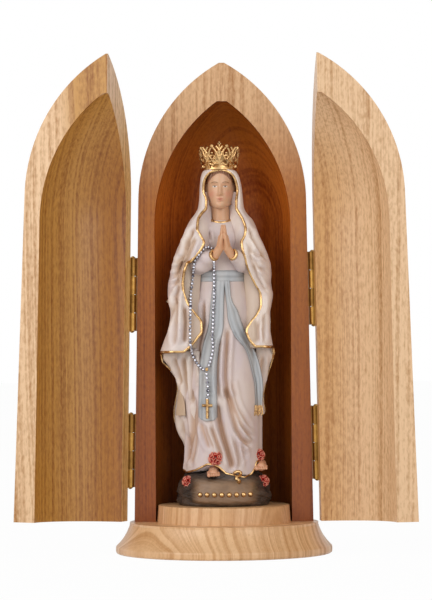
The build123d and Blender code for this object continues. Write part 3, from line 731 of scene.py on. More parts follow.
# Each mantle row: height, left border across and depth, right border across and depth, left and right
# side across, depth of the sides, depth of the back, left and right swell
MANTLE_ROWS = [
    (141.3, -0.9, -0.3, -0.9, -0.3, -1.4, -0.4, 0.4, 1.0, 0.1, 0.1),
    (140.6, -0.9, -2.6, -0.9, -2.6, -3.9, 2.1, 0.5, 3.6, 0.2, 0.2),
    (139.2, -1.0, -4.7, -1.0, -4.7, -6.0, 4.0, 0.5, 5.6, 0.3, 0.3),
    (137.3, -1.0, -6.4, -1.0, -6.4, -7.5, 5.2, 0.5, 7.0, 0.5, 0.5),
    (136.0, -4.5, -6.0, 2.5, -6.0, -8.1, 6.0, 0.5, 7.6, 0.6, 0.6),
    (134.0, -6.6, -4.9, 4.8, -4.9, -8.7, 7.0, 0.5, 8.3, 0.5, 0.5),
    (131.5, -7.6, -4.2, 5.8, -4.2, -9.0, 7.6, 0.5, 8.7, 0.35, 0.35),
    (128.5, -7.8, -3.6, 6.3, -3.6, -9.2, 8.1, 0.6, 8.9, 0.3, 0.3),
    (125.0, -6.6, -4.8, 5.9, -4.8, -9.4, 8.4, 0.8, 9.0, 0.5, 0.5),
    (121.5, -6.7, -6.0, 5.8, -6.2, -9.9, 8.8, 1.0, 9.1, 0.6, 0.6),
    (119.0, -8.7, -7.6, 7.0, -7.6, -11.2, 10.1, 1.2, 9.3, 0.5, 0.5),
    (116.5, -10.0, -9.2, 8.4, -9.2, -13.1, 12.3, 1.4, 9.8, 0.6, 0.6),
    (113.0, -10.3, -11.0, 9.4, -11.0, -14.9, 13.9, 1.4, 10.6, 0.8, 0.8),
    (110.0, -9.0, -12.6, 9.1, -12.2, -16.2, 15.0, 1.2, 11.2, 0.9, 0.9),
    (107.0, -7.6, -13.9, 7.8, -13.6, -17.5, 16.5, 1.0, 11.8, 1.0, 1.0),
    (104.0, -8.9, -14.0, 8.1, -14.0, -18.8, 17.7, 0.8, 12.2, 1.2, 1.2),
    (101.0, -11.4, -12.9, 9.0, -13.6, -19.8, 18.8, 0.6, 12.5, 1.2, 1.2),
    (98.0, -15.0, -10.8, 9.7, -12.8, -20.6, 19.6, 0.5, 12.7, 1.0, 1.6),
    (94.0, -16.0, -9.6, 11.2, -11.2, -21.3, 19.8, 0.4, 12.9, 1.0, 1.6),
    (90.0, -16.4, -9.2, 13.2, -9.8, -22.2, 19.4, 0.3, 13.0, 1.2, 1.4),
    (86.0, -15.6, -9.8, 15.3, -8.8, -22.3, 20.3, 0.2, 13.1, 1.6, 1.2),
    (82.0, -14.1, -10.8, 15.6, -9.2, -21.4, 19.6, 0.2, 13.2, 2.2, 1.6),
    (78.0, -11.2, -12.0, 14.0, -10.6, -21.1, 18.8, 0.2, 13.3, 2.6, 2.2),
    (74.5, -8.8, -12.8, 11.3, -12.0, -21.6, 18.6, 0.2, 13.4, 2.8, 2.6),
    (71.0, -8.7, -13.2, 9.6, -12.9, -22.4, 19.0, 0.2, 13.5, 2.8, 2.8),
    (68.0, -10.7, -13.6, 10.5, -13.4, -23.6, 19.5, 0.2, 13.6, 2.6, 2.6),
    (65.0, -13.2, -14.0, 12.8, -13.8, -24.7, 20.0, 0.2, 13.6, 2.2, 2.2),
    (62.0, -16.5, -13.6, 16.5, -13.0, -25.5, 20.8, 0.3, 13.6, 1.6, 1.6),
    (58.0, -18.0, -11.0, 16.0, -10.0, -24.6, 19.6, 1.5, 13.6, 0.8, 0.8),
    (54.0, -18.0, -9.0, 15.5, -8.0, -20.6, 18.4, 2.5, 13.6, 0.5, 0.5),
    (48.0, -17.5, -8.0, 15.5, -7.0, -18.9, 17.2, 3.0, 13.7, 0.4, 0.4),
    (44.0, -17.2, -7.4, 15.2, -6.4, -19.8, 16.5, 3.2, 13.8, 0.3, 0.3),
    (38.0, -17.0, -6.6, 15.0, -6.0, -20.9, 17.4, 3.5, 13.9, 0.3, 0.3),
    (35.0, -17.0, -6.2, 15.0, -6.0, -21.0, 16.6, 3.7, 14.0, 0.3, 0.3),
    (30.0, -16.0, -6.0, 14.6, -6.0, -19.2, 15.8, 3.8, 14.0, 0.3, 0.3),
    (21.0, -15.0, -6.0, 14.2, -6.0, -17.0, 15.2, 3.8, 14.0, 0.3, 0.3),
]
# Place round the mantle from its left border, 0, to its right one, 12, and height of the hem
MANTLE_HEM = [
    (0, 62.7), (2.7, 62.5), (2.9, 60.0), (3.1, 48.0), (3.3, 35.5), (3.6, 28.0), (4.0, 23.0),
    (4.5, 21.5), (6, 22.0), (7.5, 23.0), (8.0, 28.0), (8.3, 34.0), (8.6, 36.2), (8.9, 37.0),
    (9.1, 43.0), (9.3, 60.0), (9.5, 64.5), (12, 64.7),
]
# Each crease: its route across and up in the front view, its width and its depth
MANTLE_CREASES = [
    ([(-11.4, 114.6), (-13.5, 108.4), (-15.7, 101.6), (-19.6, 97.4)], 0.9, 1.15),
    ([(-10.5, 110.5), (-12.7, 104.8), (-14.8, 99.1), (-20.5, 95.0)], 0.9, 1.15),
    ([(-14.4, 109.9), (-14.1, 106.3), (-15.7, 103.9)], 0.7, 0.7),
    ([(-15.7, 101.6), (-17.7, 95.6), (-21.1, 91.5)], 0.9, 1.1),
    ([(-16.6, 97.4), (-18.1, 91.4), (-21.7, 88.5)], 0.9, 1.1),
    ([(-17.2, 92.0), (-17.8, 88.5), (-19.0, 84.0)], 0.8, 0.9),
    ([(9.7, 108.3), (11.8, 103.2), (14.7, 101.4), (17.7, 101.4)], 0.7, 0.6),
    ([(10.9, 114.2), (12.4, 109.1), (15.3, 103.8), (18.9, 99.0)], 0.8, 0.8),
    ([(10.3, 105.6), (11.7, 99.0), (13.5, 94.2)], 0.7, 0.7),
    ([(11.7, 101.4), (14.7, 96.6), (19.5, 94.5)], 0.7, 0.7),
    ([(12.3, 99.0), (14.1, 92.5), (16.7, 88.3), (19.4, 86.5)], 0.7, 0.7),
    ([(-20.0, 87.8), (-19.4, 82.9), (-21.0, 78.1), (-23.7, 68.4)], 0.8, 0.7),
    ([(-18.7, 87.8), (-18.8, 81.3), (-19.5, 71.6), (-20.4, 64.5)], 0.9, 0.8),
    ([(-15.5, 82.6), (-15.2, 74.8), (-15.6, 65.1)], 0.9, 1.3),
    ([(14.0, 76.9), (14.2, 68.2), (13.6, 64.9)], 0.8, 0.8),
    ([(17.5, 79.2), (16.5, 71.4), (16.8, 65.6)], 0.8, 0.8),
]
FLAP_CREASES = [
    ([(-20.6, 61.5), (-18.2, 55.0), (-16.8, 48.0)], 0.9, 1.0),
    ([(-16.6, 62.0), (-15.4, 54.0), (-14.8, 44.0), (-15.0, 34.0)], 0.9, 1.1),
    ([(-12.4, 62.0), (-12.0, 54.0), (-12.2, 46.0), (-12.8, 40.0)], 0.9, 1.0),
    ([(-17.4, 35.0), (-16.6, 30.0), (-15.2, 26.0)], 0.8, 0.8),
    ([(16.6, 62.0), (15.9, 55.0), (15.4, 48.0)], 0.8, 0.8),
]
# Height, half width, half depth
GOWN_ROWS = [
    (9.0, 15.2, 13.0), (14.0, 16.3, 13.6), (22.0, 15.4, 13.4), (40.0, 15.0, 12.0), (55.0, 14.4, 11.2),
    (65.0, 13.6, 10.6), (80.0, 11.8, 9.4), (90.0, 10.2, 8.6), (95.0, 9.6, 8.2), (100.0, 10.2, 8.4),
    (107.0, 11.0, 8.4), (112.0, 10.2, 7.2), (114.6, 8.2, 5.8), (115.8, 5.6, 4.8), (116.3, 4.4, 4.3),
]
# Across, height
GOWN_HEM = [
    (-16.5, 14.8), (-15.3, 13.2), (-11.3, 14.4), (-6.8, 16.8), (-4.4, 16.8), (-2.0, 15.8), (0.9, 13.1),
    (3.7, 12.5), (5.7, 11.9), (8.5, 11.5), (11.0, 12.7), (12.6, 15.1), (13.4, 17.5), (16.5, 18.5),
]
HEM_LEVEL = 16.0
BACK_HEM = 13.5
HEM_CURL = [
    (3.9, 12.7), (4.6, 13.8), (5.9, 14.1), (6.9, 13.3), (6.5, 12.4), (5.3, 12.0), (5.0, 11.2),
    (5.9, 10.8), (6.4, 10.2), (5.7, 9.6),
]
GOWN_CREASES = [
    ([(-8.1, 84.5), (-8.1, 74.7), (-10.1, 65.0), (-9.8, 58.5)], 0.8, 0.9),
    ([(-1.0, 69.6), (-2.0, 61.8), (-2.4, 52.1), (-1.8, 43.0)], 0.8, 0.8),
    ([(2.0, 73.0), (1.6, 64.9), (1.1, 58.4), (0.9, 52.1), (2.1, 43.0)], 0.9, 0.9),
    ([(3.4, 52.0), (4.0, 47.2), (5.3, 43.0)], 0.8, 0.6),
    ([(0.3, 49.1), (2.2, 42.6), (3.8, 36.1), (5.3, 31.0), (7.3, 27.7), (9.8, 25.1), (12.1, 24.1)], 0.9, 1.0),
    ([(1.9, 46.5), (4.8, 38.4), (7.3, 32.9), (10.2, 29.0), (12.7, 26.7)], 0.8, 0.8),
    ([(3.8, 45.8), (6.3, 39.4), (9.2, 34.5), (11.8, 30.9)], 0.8, 0.6),
    ([(-15.6, 45.1), (-15.0, 36.2), (-14.5, 26.5), (-15.1, 20.1), (-16.4, 15.5)], 0.7, 0.7),
    ([(-13.3, 48.4), (-12.4, 39.4), (-12.5, 29.8), (-13.8, 21.7), (-15.1, 16.8)], 0.9, 1.1),
    ([(-11.4, 45.1), (-10.8, 36.2), (-10.9, 28.1), (-11.9, 21.7), (-13.7, 15.5)], 0.8, 0.8),
    ([(-9.8, 35.6), (-8.2, 29.8), (-6.4, 24.5), (-5.1, 22.3)], 0.8, 0.9),
    ([(-7.9, 34.3), (-6.3, 29.1), (-4.4, 24.2), (-3.6, 22.3)], 0.7, 0.7),
    ([(-5.7, 33.9), (-3.7, 28.4), (-1.8, 23.2), (-0.2, 18.4)], 0.8, 0.9),
    ([(-2.7, 42.6), (-1.8, 35.5), (-0.5, 29.7), (1.4, 23.2), (3.0, 18.0), (3.6, 14.2)], 1.1, 1.4),
    ([(3.7, 28.4), (5.3, 23.2), (6.2, 18.3), (6.2, 14.2)], 0.8, 0.7),
    ([(6.9, 26.4), (8.5, 21.2), (8.8, 18.0)], 0.8, 0.6),
    ([(-8.2, 54.4), (-9.5, 49.2)], 0.6, 0.5),
    ([(4.7, 115.3), (6.1, 109.8), (6.1, 104.1)], 0.7, 0.7),
    ([(-5.9, 112.9), (-4.7, 106.8)], 0.7, 0.6),
]
# A sleeve's radius by the share of its length, and the right elbow: across, depth, height
SLEEVE_ROWS = [(0, 4.2), (0.35, 4.3), (0.8, 3.3), (0.97, 2.5), (1.0, 2.1)]
ELBOW = (13.0, -2.6, 99.2)
# Ends of the sleeves and middles of the cuffs, left and right: across, depth, height
WRISTS = {-1: (-3.8, -13.4, 101.6), 1: (4.5, -13.4, 101.8)}
CUFFS = {-1: (-3.5, -13.7, 101.8), 1: (4.2, -13.7, 102.0)}
CUFF_RADIUS = 1.85
COLLAR_MIDDLE = (-0.6, -0.7, 117.2)
COLLAR_REACH = (4.5, 4.7, 1.9)
# Knees and chest under the gown: rise, place across and up, half width and half height
GOWN_SWELLS = [
    (1.9, (8.0, 38.0), (5.5, 13.0)), (0.9, (-7.0, 42.0), (4.0, 14.0)),
    (0.7, (-4.4, 108.0), (3.4, 3.6)), (0.7, (3.8, 108.0), (3.4, 3.6)),
]
# Height, half width, half depth
ROCK_ROWS = [
    (0.0, 18.0, 17.2), (1.0, 18.9, 18.2), (2.5, 19.3, 18.6), (5.0, 19.4, 18.6), (8.0, 18.8, 17.6),
    (11.0, 17.6, 16.0), (13.5, 14.6, 13.0), (14.6, 9.0, 8.0), (14.8, 3.0, 2.5),
]
ROCK_MIDDLE = -1.2
STUD_SPAN = (-9.6, 10.6)
STUD_HEIGHT = 5.0
STUD_RISE = 0.1
# Height, half width, depth of the front and of the back
HEAD_ROWS = [
    (121.0, 1.3, -6.4, -4.0), (121.5, 2.3, -6.9, -2.6), (122.3, 3.2, -7.2, -1.0), (123.3, 3.9, -7.35, 0.6),
    (124.6, 4.45, -7.3, 2.4), (126.4, 4.95, -7.25, 4.2), (128.5, 5.15, -7.2, 5.2), (130.0, 5.2, -7.2, 5.6),
    (132.0, 5.2, -7.3, 5.7), (134.0, 5.0, -7.0, 5.6), (136.0, 4.5, -6.2, 5.3), (138.0, 3.4, -4.6, 4.4),
    (139.4, 2.0, -2.8, 2.8), (140.0, 0.6, -0.8, 0.8),
]
# Forms of the face, those off its middle on both sides: rise, place across and up, half width and height
FACE_FORMS = [
    (0.34, (0.82, 126.8), (0.48, 0.5)), (-0.62, (2.15, 130.2), (1.35, 0.95)),
    (0.4, (2.15, 130.0), (0.95, 0.5)), (0.24, (2.2, 131.6), (1.6, 0.45)), (0.3, (3.0, 127.8), (1.5, 1.5)),
    (0.34, (0, 125.15), (1.2, 0.32)), (0.4, (0, 124.3), (0.95, 0.34)), (-0.26, (0, 124.72), (1.2, 0.15)),
    (-0.22, (0, 123.5), (1.1, 0.35)), (0.5, (0, 122.3), (1.3, 0.8)),
]
# Height over which the nose rises, and its rise
NOSE = [(125.9, 0), (126.35, 0.7), (127.0, 1.5), (128.5, 1.05), (130.2, 0.5), (131.6, 0.05)]
# Soft paint beside the middle of the face and on it: colour, strength, place across and up, half sizes
CHEEK_PAINTS = [
    ((222, 150, 128), 0.6, (3.4, 126.9), (1.5, 1.5)), ((206, 158, 124), 0.5, (2.15, 130.9), (1.3, 0.5)),
]
MOUTH_PAINTS = [
    ((196, 112, 98), 0.8, (0, 125.1), (1.15, 0.28)), ((202, 116, 102), 0.8, (0, 124.35), (0.95, 0.3)),
    ((150, 76, 66), 0.6, (0, 124.72), (1.15, 0.12)), ((200, 144, 112), 0.45, (0, 126.1), (0.8, 0.25)),
]
EYE_ACROSS = 2.15
# Height and radius of the neck
NECK_ROWS = [(113, 4.6), (116, 3.9), (119, 3.65), (122, 3.6), (124.5, 3.2)]
NECK_FOOT_ACROSS = -0.4
HEAD_ACROSS = -0.9
HANDS_ACROSS = 0.35
# Rods of one hand, mirrored for the other: each end across, depth, height and radius
PALM_RODS = [
    ((3.7, -12.7, 101.0, 1.7), (1.8, -14.2, 104.2, 1.75)),
    ((1.55, -14.6, 104.4, 1.55), (1.05, -15.7, 109.0, 1.12)),
    ((1.55, -13.0, 104.6, 1.55), (1.05, -13.6, 109.0, 1.12)),
]
THUMB_RODS = [
    ((1.5, -15.4, 105.0, 1.05), (0.85, -17.0, 108.4, 0.75)),
    ((0.85, -17.0, 108.4, 0.75), (0.55, -17.3, 110.2, 0.55)),
]
FINGER_DROPS = (0.7, 0.0, 0.35, 1.3)
TOE_RADII = (0.95, 0.8, 0.74, 0.68, 0.6)
TOE_PITCH = 0.98
BAND_SPAN = (91.0, 95.9)
SASH_BACKMOST = -6.0
SASH_HALF_WIDTHS = [(34, 3.9), (60, 3.6), (92, 2.4)]
FRINGE_SPAN = (13.0, 15.6)
FRINGE_TOP = 40.8
FRINGE_FOOT = 36.4
# Across, height
SASH_LEFT = [
    (-1.5, 91.5), (-2.2, 83.6), (-2.8, 73.5), (-4.9, 65.0), (-6.1, 55.2), (-6.3, 43.1), (-6.3, 34.6),
]
SASH_RIGHT_INNER = [
    (0.5, 91.5), (1.7, 79.9), (1.9, 76.7), (4.4, 69.5), (9.3, 63.0), (11.5, 55.3), (12.8, 48.8),
    (13.2, 40.5),
]
SASH_RIGHT_OUTER = [
    (2.9, 91.5), (3.5, 84.4), (6.1, 79.2), (8.1, 73.4), (10.9, 66.9), (13.6, 61.7), (15.4, 55.2),
    (16.3, 48.5), (15.9, 40.5),
]
BEADS_LEFT = [
    (-3.1, 104.0), (-6.1, 105.1), (-9.5, 102.3), (-11.3, 99.4), (-12.4, 91.2), (-13.1, 84.5), (-13.2, 74.8),
    (-13.3, 67.1), (-12.7, 62.2), (-10.7, 58.0), (-7.9, 55.4), (-6.7, 55.7),
]
BEADS_RIGHT = [
    (-3.5, 99.0), (-3.5, 94.2), (-3.5, 87.0), (-3.9, 79.5), (-4.1, 73.1), (-4.4, 68.3), (-4.1, 64.4),
    (-5.3, 58.6), (-6.6, 55.7),
]
BEADS_PENDANT = [
    (-6.7, 55.3), (-6.8, 53.2), (-6.5, 50.5), (-6.2, 45.6), (-6.7, 43.5),
]
# Depth of what is laid where nothing stands behind it, and how far the beads lie off the cloth
OPEN_DEPTH = -12.0
BEAD_LIFT = 0.75
BEAD_CROSS = (-6.6, 40.9)
BEAD_CROSS_REACH = 2.1
BEAD_HEART = (-6.7, 55.5)
# Across, height, radius
ROSES = {
    "rose_on_left_foot": (-3.3, 19.9, 3.0),
    "rose_on_right_foot": (14.2, 20.8, 2.6),
    "rose_on_rock_left": (-14.5, 10.2, 2.5),
    "rose_on_rock_right": (16.0, 10.3, 2.5),
}
# Petals of a rose from the middle outwards: count, length, lean in radians, reach, as shares of its radius
PETAL_RINGS = ((4, 0.62, 0.30, 0.16), (5, 0.80, 0.55, 0.26), (6, 0.94, 0.95, 0.34), (6, 1.0, 1.3, 0.38))
ROSE_TILT = 72
# Across, depth of the tip, height
FEET = ((-4.1, -16.4, 13.6), (15.2, -11.4, 16.0))


def curve_through(points, where):
    """Points on a rounded curve through control points, at places counted in controls."""
    count = len(points)
    i = np.clip(np.floor(where).astype(int), 0, count - 2)
    t = (where - i)[:, None]
    rows = np.arange(len(where))
    picks = [np.clip(i + k, 0, count - 1) for k in (-1, 0, 1, 2)]
    a, b, c, d = (points[p, rows] for p in picks)
    return 0.5 * (2 * b + (c - a) * t + (2 * a - 5 * b + 4 * c - d) * t**2 + (3 * b - 3 * c + d - a) * t**3)


def mantle_grid(across=201, up=206):
    """The mantle and veil as an open grid, from the right border round the back to the left one."""
    u = np.linspace(12, 0, across)
    hem = smooth_table(MANTLE_HEM, u)[:, 0]
    v = np.linspace(0, 1, up)[:, None]
    height = hem[None, :] + (MANTLE_ROWS[0][0] - hem[None, :]) * v
    flat_height = height.ravel()
    where = np.tile(u, up)
    blx, bly, brx, bry, slx, srx, sy, by, bulge_l, bulge_r = smooth_table(MANTLE_ROWS, flat_height).T
    middle = (slx + srx) / 2
    quarter = math.pi / 2

    def front(border_x, border_y, side_x, swell, outwards, share):
        swell = swell * math.sin(math.pi * share)
        x = border_x + (side_x - border_x) * math.sin(share * quarter) + outwards * swell * 0.5
        return x, sy + (border_y - sy) * math.cos(share * quarter) - swell

    def rear(side_x, share):
        x = middle + (side_x - middle) * math.cos(share * quarter)
        return x, sy + (by - sy) * math.sin(share * quarter)

    controls = [front(blx, bly, slx, bulge_l, -1, share) for share in (0.0, 1 / 3, 2 / 3, 1.0)]
    controls += [rear(slx, share) for share in (1 / 3, 2 / 3)]
    controls.append((middle, by))
    controls += [rear(srx, share) for share in (2 / 3, 1 / 3)]
    controls += [front(brx, bry, srx, bulge_r, 1, share) for share in (1.0, 2 / 3, 1 / 3, 0.0)]
    points = np.stack([np.stack(c, axis=1) for c in controls])
    plane = curve_through(points, where)
    grid = np.column_stack([plane, flat_height]).reshape(up, across, 3)
    return grid, u, height


def carved_mantle():
    """The mantle with its folds, the depth of its folds, and its normals."""
    grid, u, height = mantle_grid()
    normals = grid_normals(grid, False)
    back = window(u, (3.2, 4.2), (7.8, 8.8))[None, :] * step(-height, -114, -96)
    folds = np.cos((u[None, :] - 6) * 3.4 + 0.25 * wander(height * 0.05, 4)) * 0.75 * back
    grid = grid + normals * folds[..., None]
    grid, depth = carve(grid, normals, MANTLE_CREASES)
    depth = depth + np.maximum(-folds, 0)
    return grid, depth, grid_normals(grid, False)


def gown_grid(around=300, up=280):
    """The gown as wrapped rings from its hem to its neck."""
    turn = full_turn(around)
    widest = smooth_table(GOWN_ROWS, [HEM_LEVEL])[0]
    hem_front = np.interp(widest[0] * np.sin(turn), *np.array(GOWN_HEM).T)
    hem_back = BACK_HEM + (hem_front - BACK_HEM) * np.exp(-(np.cos(turn) * 3) ** 2)
    hem = np.where(np.cos(turn) > 0, hem_front, hem_back)
    v = np.linspace(0, 1, up)[:, None]
    height = hem[None, :] + (GOWN_ROWS[-1][0] - hem[None, :]) * v
    half_width, half_depth = smooth_table(GOWN_ROWS, height.ravel()).T
    half_width, half_depth = half_width.reshape(height.shape), half_depth.reshape(height.shape)
    middle = -0.4 - 0.6 * step(-height, -60, -10)
    x = half_width * np.sin(turn)[None, :] - 0.4 * step(height, 95, 118)
    y = middle - half_depth * np.sign(np.cos(turn)) * np.abs(np.cos(turn))[None, :] ** 0.92
    grid = np.stack([x, y, height], axis=2)
    normals = grid_normals(grid, True)
    swell = sum(rise * hump(x, height, place, size) for rise, place, size in GOWN_SWELLS)
    grid = grid + normals * (swell * (np.cos(turn) > 0)[None, :])[..., None]
    sides = (1 - step(np.cos(turn), 0.1, 0.5))[None, :] * step(-height, -95, -60)
    folds = 0.5 * sides * np.cos(turn * 13 + 0.4 * wander(height * 0.05, 9))
    return grid + normals * folds[..., None], normals


def carved_gown():
    """The gown with its folds, and their depth."""
    grid, normals = gown_grid()
    return carve(grid, normals, GOWN_CREASES)


def sleeve_grid(side, wrist, around=56, along=40):
    """One wide sleeve from the elbow to the wrist, drooping below the arm."""
    elbow = np.array(ELBOW) * (side, 1, 1)
    share = np.linspace(0, 1, along)
    centre = elbow + (np.array(wrist) - elbow) * share[:, None]
    centre[:, 2] -= 0.7 * np.sin(math.pi * share)
    run = np.array(wrist) - elbow
    run /= np.linalg.norm(run)
    out = np.cross(run, (0, 0, 1.0))
    out /= np.linalg.norm(out)
    rise = np.cross(out, run)
    radius = np.interp(share, *np.array(SLEEVE_ROWS).T)
    closing = np.sqrt(np.clip(1 - ((share - 0.12).clip(max=0) / 0.12) ** 2, 0.02, 1))
    turn = np.linspace(0, 2 * math.pi, around, endpoint=False)
    ring = np.cos(turn)[None, :, None] * out + np.sin(turn)[None, :, None] * rise
    droop = 1 + 0.3 * np.clip(-np.sin(turn), 0, 1)[None, :] * np.sin(math.pi * share.clip(0, 1))[:, None]
    ridges = 1 + 0.06 * np.cos(share[:, None] * 15 + turn[None, :] * 2)
    size = (radius * closing)[:, None] * droop * ridges
    return centre[:, None, :] + ring * size[..., None]


def panel_grid(rows, across=18, up=46):
    """A strip between a left and a right edge line, bowed towards the front between them."""
    height = np.linspace(min(r[0] for r in rows), max(r[0] for r in rows), up)
    left_x, left_y, right_x, right_y, bow = smooth_table(rows, height).T
    share = np.linspace(0, 1, across)
    x = left_x[:, None] + (right_x - left_x)[:, None] * share
    y = left_y[:, None] + (right_y - left_y)[:, None] * share - bow[:, None] * np.sin(math.pi * share)
    return np.stack([x, y, np.repeat(height[:, None], across, axis=1)], axis=2)


def bridge(depth, times):
    """Lets a run of depths pass over hollows, as a taut band or cord does."""
    for _ in range(times):
        depth[1:-1] = np.minimum(depth[1:-1], (depth[:-2] + depth[2:]) / 2)


def surface_finder(*objects):
    """A function that gives the front depth, in figure millimetres, of the foremost of some pieces."""
    trees = []
    for obj in objects:
        points = [tuple(v.co / MM) for v in obj.data.vertices]
        faces = [tuple(p.vertices) for p in obj.data.polygons]
        trees.append(BVHTree.FromPolygons(points, faces))

    def front(x, height, otherwise=0.0):
        hits = []
        for tree in trees:
            hit = tree.ray_cast(Vector((x, -80.0, height + FIGURE_FOOT)), Vector((0, 1, 0)))[0]
            if hit is not None:
                hits.append(hit.y)
        return min(hits) if hits else otherwise

    return front


# Sides of a rod, and the angle at which its round ends are left flat
ROD_SIDES = 18
ROD_TIP = 0.12


def fused(name, rods, grain, smooth=3):
    """One closed form from tapered rods, given as two ends with their radii."""
    points, faces = [], []
    for (a, ra), (b, rb) in rods:
        a, b = np.array(a, float), np.array(b, float)
        run = b - a
        length = max(np.linalg.norm(run), 1e-6)
        run = run / length
        side = np.cross(run, (0.31, 0.87, 0.38))
        side /= np.linalg.norm(side)
        other = np.cross(run, side)
        low_turns = np.linspace(ROD_TIP, math.pi / 2, 6)
        high_turns = np.linspace(0, math.pi / 2 - ROD_TIP, 6)
        rings = [(a - run * ra * math.cos(t), ra * math.sin(t)) for t in low_turns]
        rings += [(b + run * rb * math.sin(t), rb * math.cos(t)) for t in high_turns]
        first = len(points)
        for centre, radius in rings:
            for t in np.linspace(0, 2 * math.pi, ROD_SIDES, endpoint=False):
                points.append(centre + radius * (side * math.cos(t) + other * math.sin(t)))
        faces += ring_faces(len(rings), ROD_SIDES, True, first)
        faces.append(tuple(first + k for k in reversed(range(ROD_SIDES))))
        faces.append(tuple(first + (len(rings) - 1) * ROD_SIDES + k for k in range(ROD_SIDES)))
    obj = new_object(name, points, faces)
    melt = obj.modifiers.new("melt", "REMESH")
    melt.mode = "VOXEL"
    melt.voxel_size = grain * MM
    ease = obj.modifiers.new("ease", "SMOOTH")
    ease.factor = 0.5
    ease.iterations = smooth
    return settled(obj, name)


def joined(name, objects):
    """Several mesh objects made one."""
    with bpy.context.temp_override(active_object=objects[0], selected_editable_objects=objects):
        bpy.ops.object.join()
    objects[0].name = name
    objects[0].data.name = name
    return objects[0]


# Paints of the figure that aren't settings
# For each cloth: its blush, and the colour of the painted shade in its folds
GOWN_SHADES = linear(208, 192, 194), linear(188, 150, 120)
MANTLE_SHADES = linear(214, 199, 200), linear(186, 152, 122)
SASH_SHADES = linear(176, 182, 188), linear(112, 112, 112)
BRUSHED_SKIN = linear(206, 150, 112)
# The rock's own deep paint, darkened in part as painted shade, and its browner front, lightened in part as
# painted light
ROCK_TONES_AND_SHADE = linear(30, 25, 23), linear(74, 60, 51)
ROCK_FRONT_TONES_AND_LIGHT = linear(104, 78, 56), linear(164, 130, 98)
MOSS = linear(70, 74, 50)
ROSE_SHADES = linear(122, 16, 14), linear(206, 48, 38)
# Painted highlight on the petals' edges
ROSE_EDGE_HIGHLIGHT = linear(246, 170, 142)
BEAD_SHADES = linear(204, 204, 212), linear(84, 80, 92)
FACE_COLOUR = (216, 172, 138)
BROW_COLOUR = (122, 82, 54)
EYE_WHITE = (236, 226, 216)
IRIS_COLOUR = (66, 48, 38)
LASH_COLOUR = (86, 54, 40)
# The hair's brown, and its painted highlight
HAIR_TONE_AND_HIGHLIGHT = (86, 48, 28), (150, 92, 54)
HAND_COLOUR = (214, 164, 126)
FEET_COLOUR = (214, 160, 126)
NECK_COLOUR = (206, 160, 124)
FINISHES = {}
PIECES = {}


def stored(tree, label, output="Fac"):
    """A value kept on the piece's own points."""
    attrs = {"attribute_name": label, "attribute_type": "GEOMETRY"}
    return node(tree, "ShaderNodeAttribute", attrs).outputs[output]


def cloth_paint_group():
    """Thin paint over carved wood: pale on the ridges, with warm painted shade in the folds, warm patches
    and faint brush streaks.
    """
    if "Cloth paint" in bpy.data.node_groups:
        return bpy.data.node_groups["Cloth paint"]
    inputs = [
        ("Place", VECTOR, None),
        ("Fold", FLOAT, 0.0),
        ("Ridge", COLOUR, linear(228, 214, 204)),
        ("Blush", COLOUR, linear(216, 198, 200)),
        ("Hollow", COLOUR, linear(186, 148, 112)),
    ]
    t, gin, gout = new_group("Cloth paint", inputs, SURFACE_OUTPUTS)
    place = gin.outputs["Place"]
    patch = spread(t, upright_noise(t, place, 150.0, 60.0, 3.0), 0.35, 0.7)
    brush = upright_noise(t, place, 900.0, 160.0, 4.0)
    warm = spread(t, upright_noise(t, place, 210.0, 90.0, 2.0), 0.45, 0.75)
    colour = mixed(t, maths(t, "MULTIPLY", patch, 0.75), gin.outputs["Ridge"], gin.outputs["Blush"])
    # Painted shade in the folds, warmed in patches and streaked by the brush
    fold_shade_and_warmth = added(t, warm, 0.22, spread(t, gin.outputs["Fold"], 0.12, 1.1))
    fold_shade_and_warmth = added(t, from_middle(t, brush), 0.22, fold_shade_and_warmth, clamp=True)
    colour = mixed(t, maths(t, "MULTIPLY", fold_shade_and_warmth, 0.8), colour, gin.outputs["Hollow"])
    feed(t, gout.inputs["Color"], colour)
    feed(t, gout.inputs["Roughness"], added(t, brush, 0.12, 0.4))
    feed(t, gout.inputs["Height"], brush)
    return t


def cloth_material(name, ridge, blush, hollow, lining=None):
    """Painted cloth, with a lining colour where the piece has one."""
    material, t, shader = new_material(name)
    coat = node(t, "ShaderNodeGroup", {"node_tree": cloth_paint_group()})
    settings = {"Place": object_place(t), "Fold": stored(t, "fold")}
    settings.update({"Ridge": ridge, "Blush": blush, "Hollow": hollow})
    for label, value in settings.items():
        feed(t, coat.inputs[label], value)
    colour = coat.outputs["Color"]
    if lining:
        colour = mixed(t, maths(t, "MULTIPLY", stored(t, "lining"), 0.85), colour, lining)
    coated(t, shader, colour, coat.outputs["Roughness"])
    shader.inputs["Specular IOR Level"].default_value = 0.4
    bump(t, shader, coat.outputs["Height"], 0.12, 0.0001)
    return material


def skin_material():
    """Flesh paint, tinted by the colour kept on the piece's points."""
    material, t, shader = new_material("flesh_paint")
    brush = noise(t, object_place(t), 600.0, 3.0)
    shade = mixed(t, maths(t, "MULTIPLY", brush, 0.18), stored(t, "tint", "Color"), BRUSHED_SKIN)
    coated(t, shader, shade, added(t, brush, 0.1, 0.36))
    shader.inputs["Subsurface Weight"].default_value = 0.06
    shader.inputs["Subsurface Scale"].default_value = 0.001
    return material


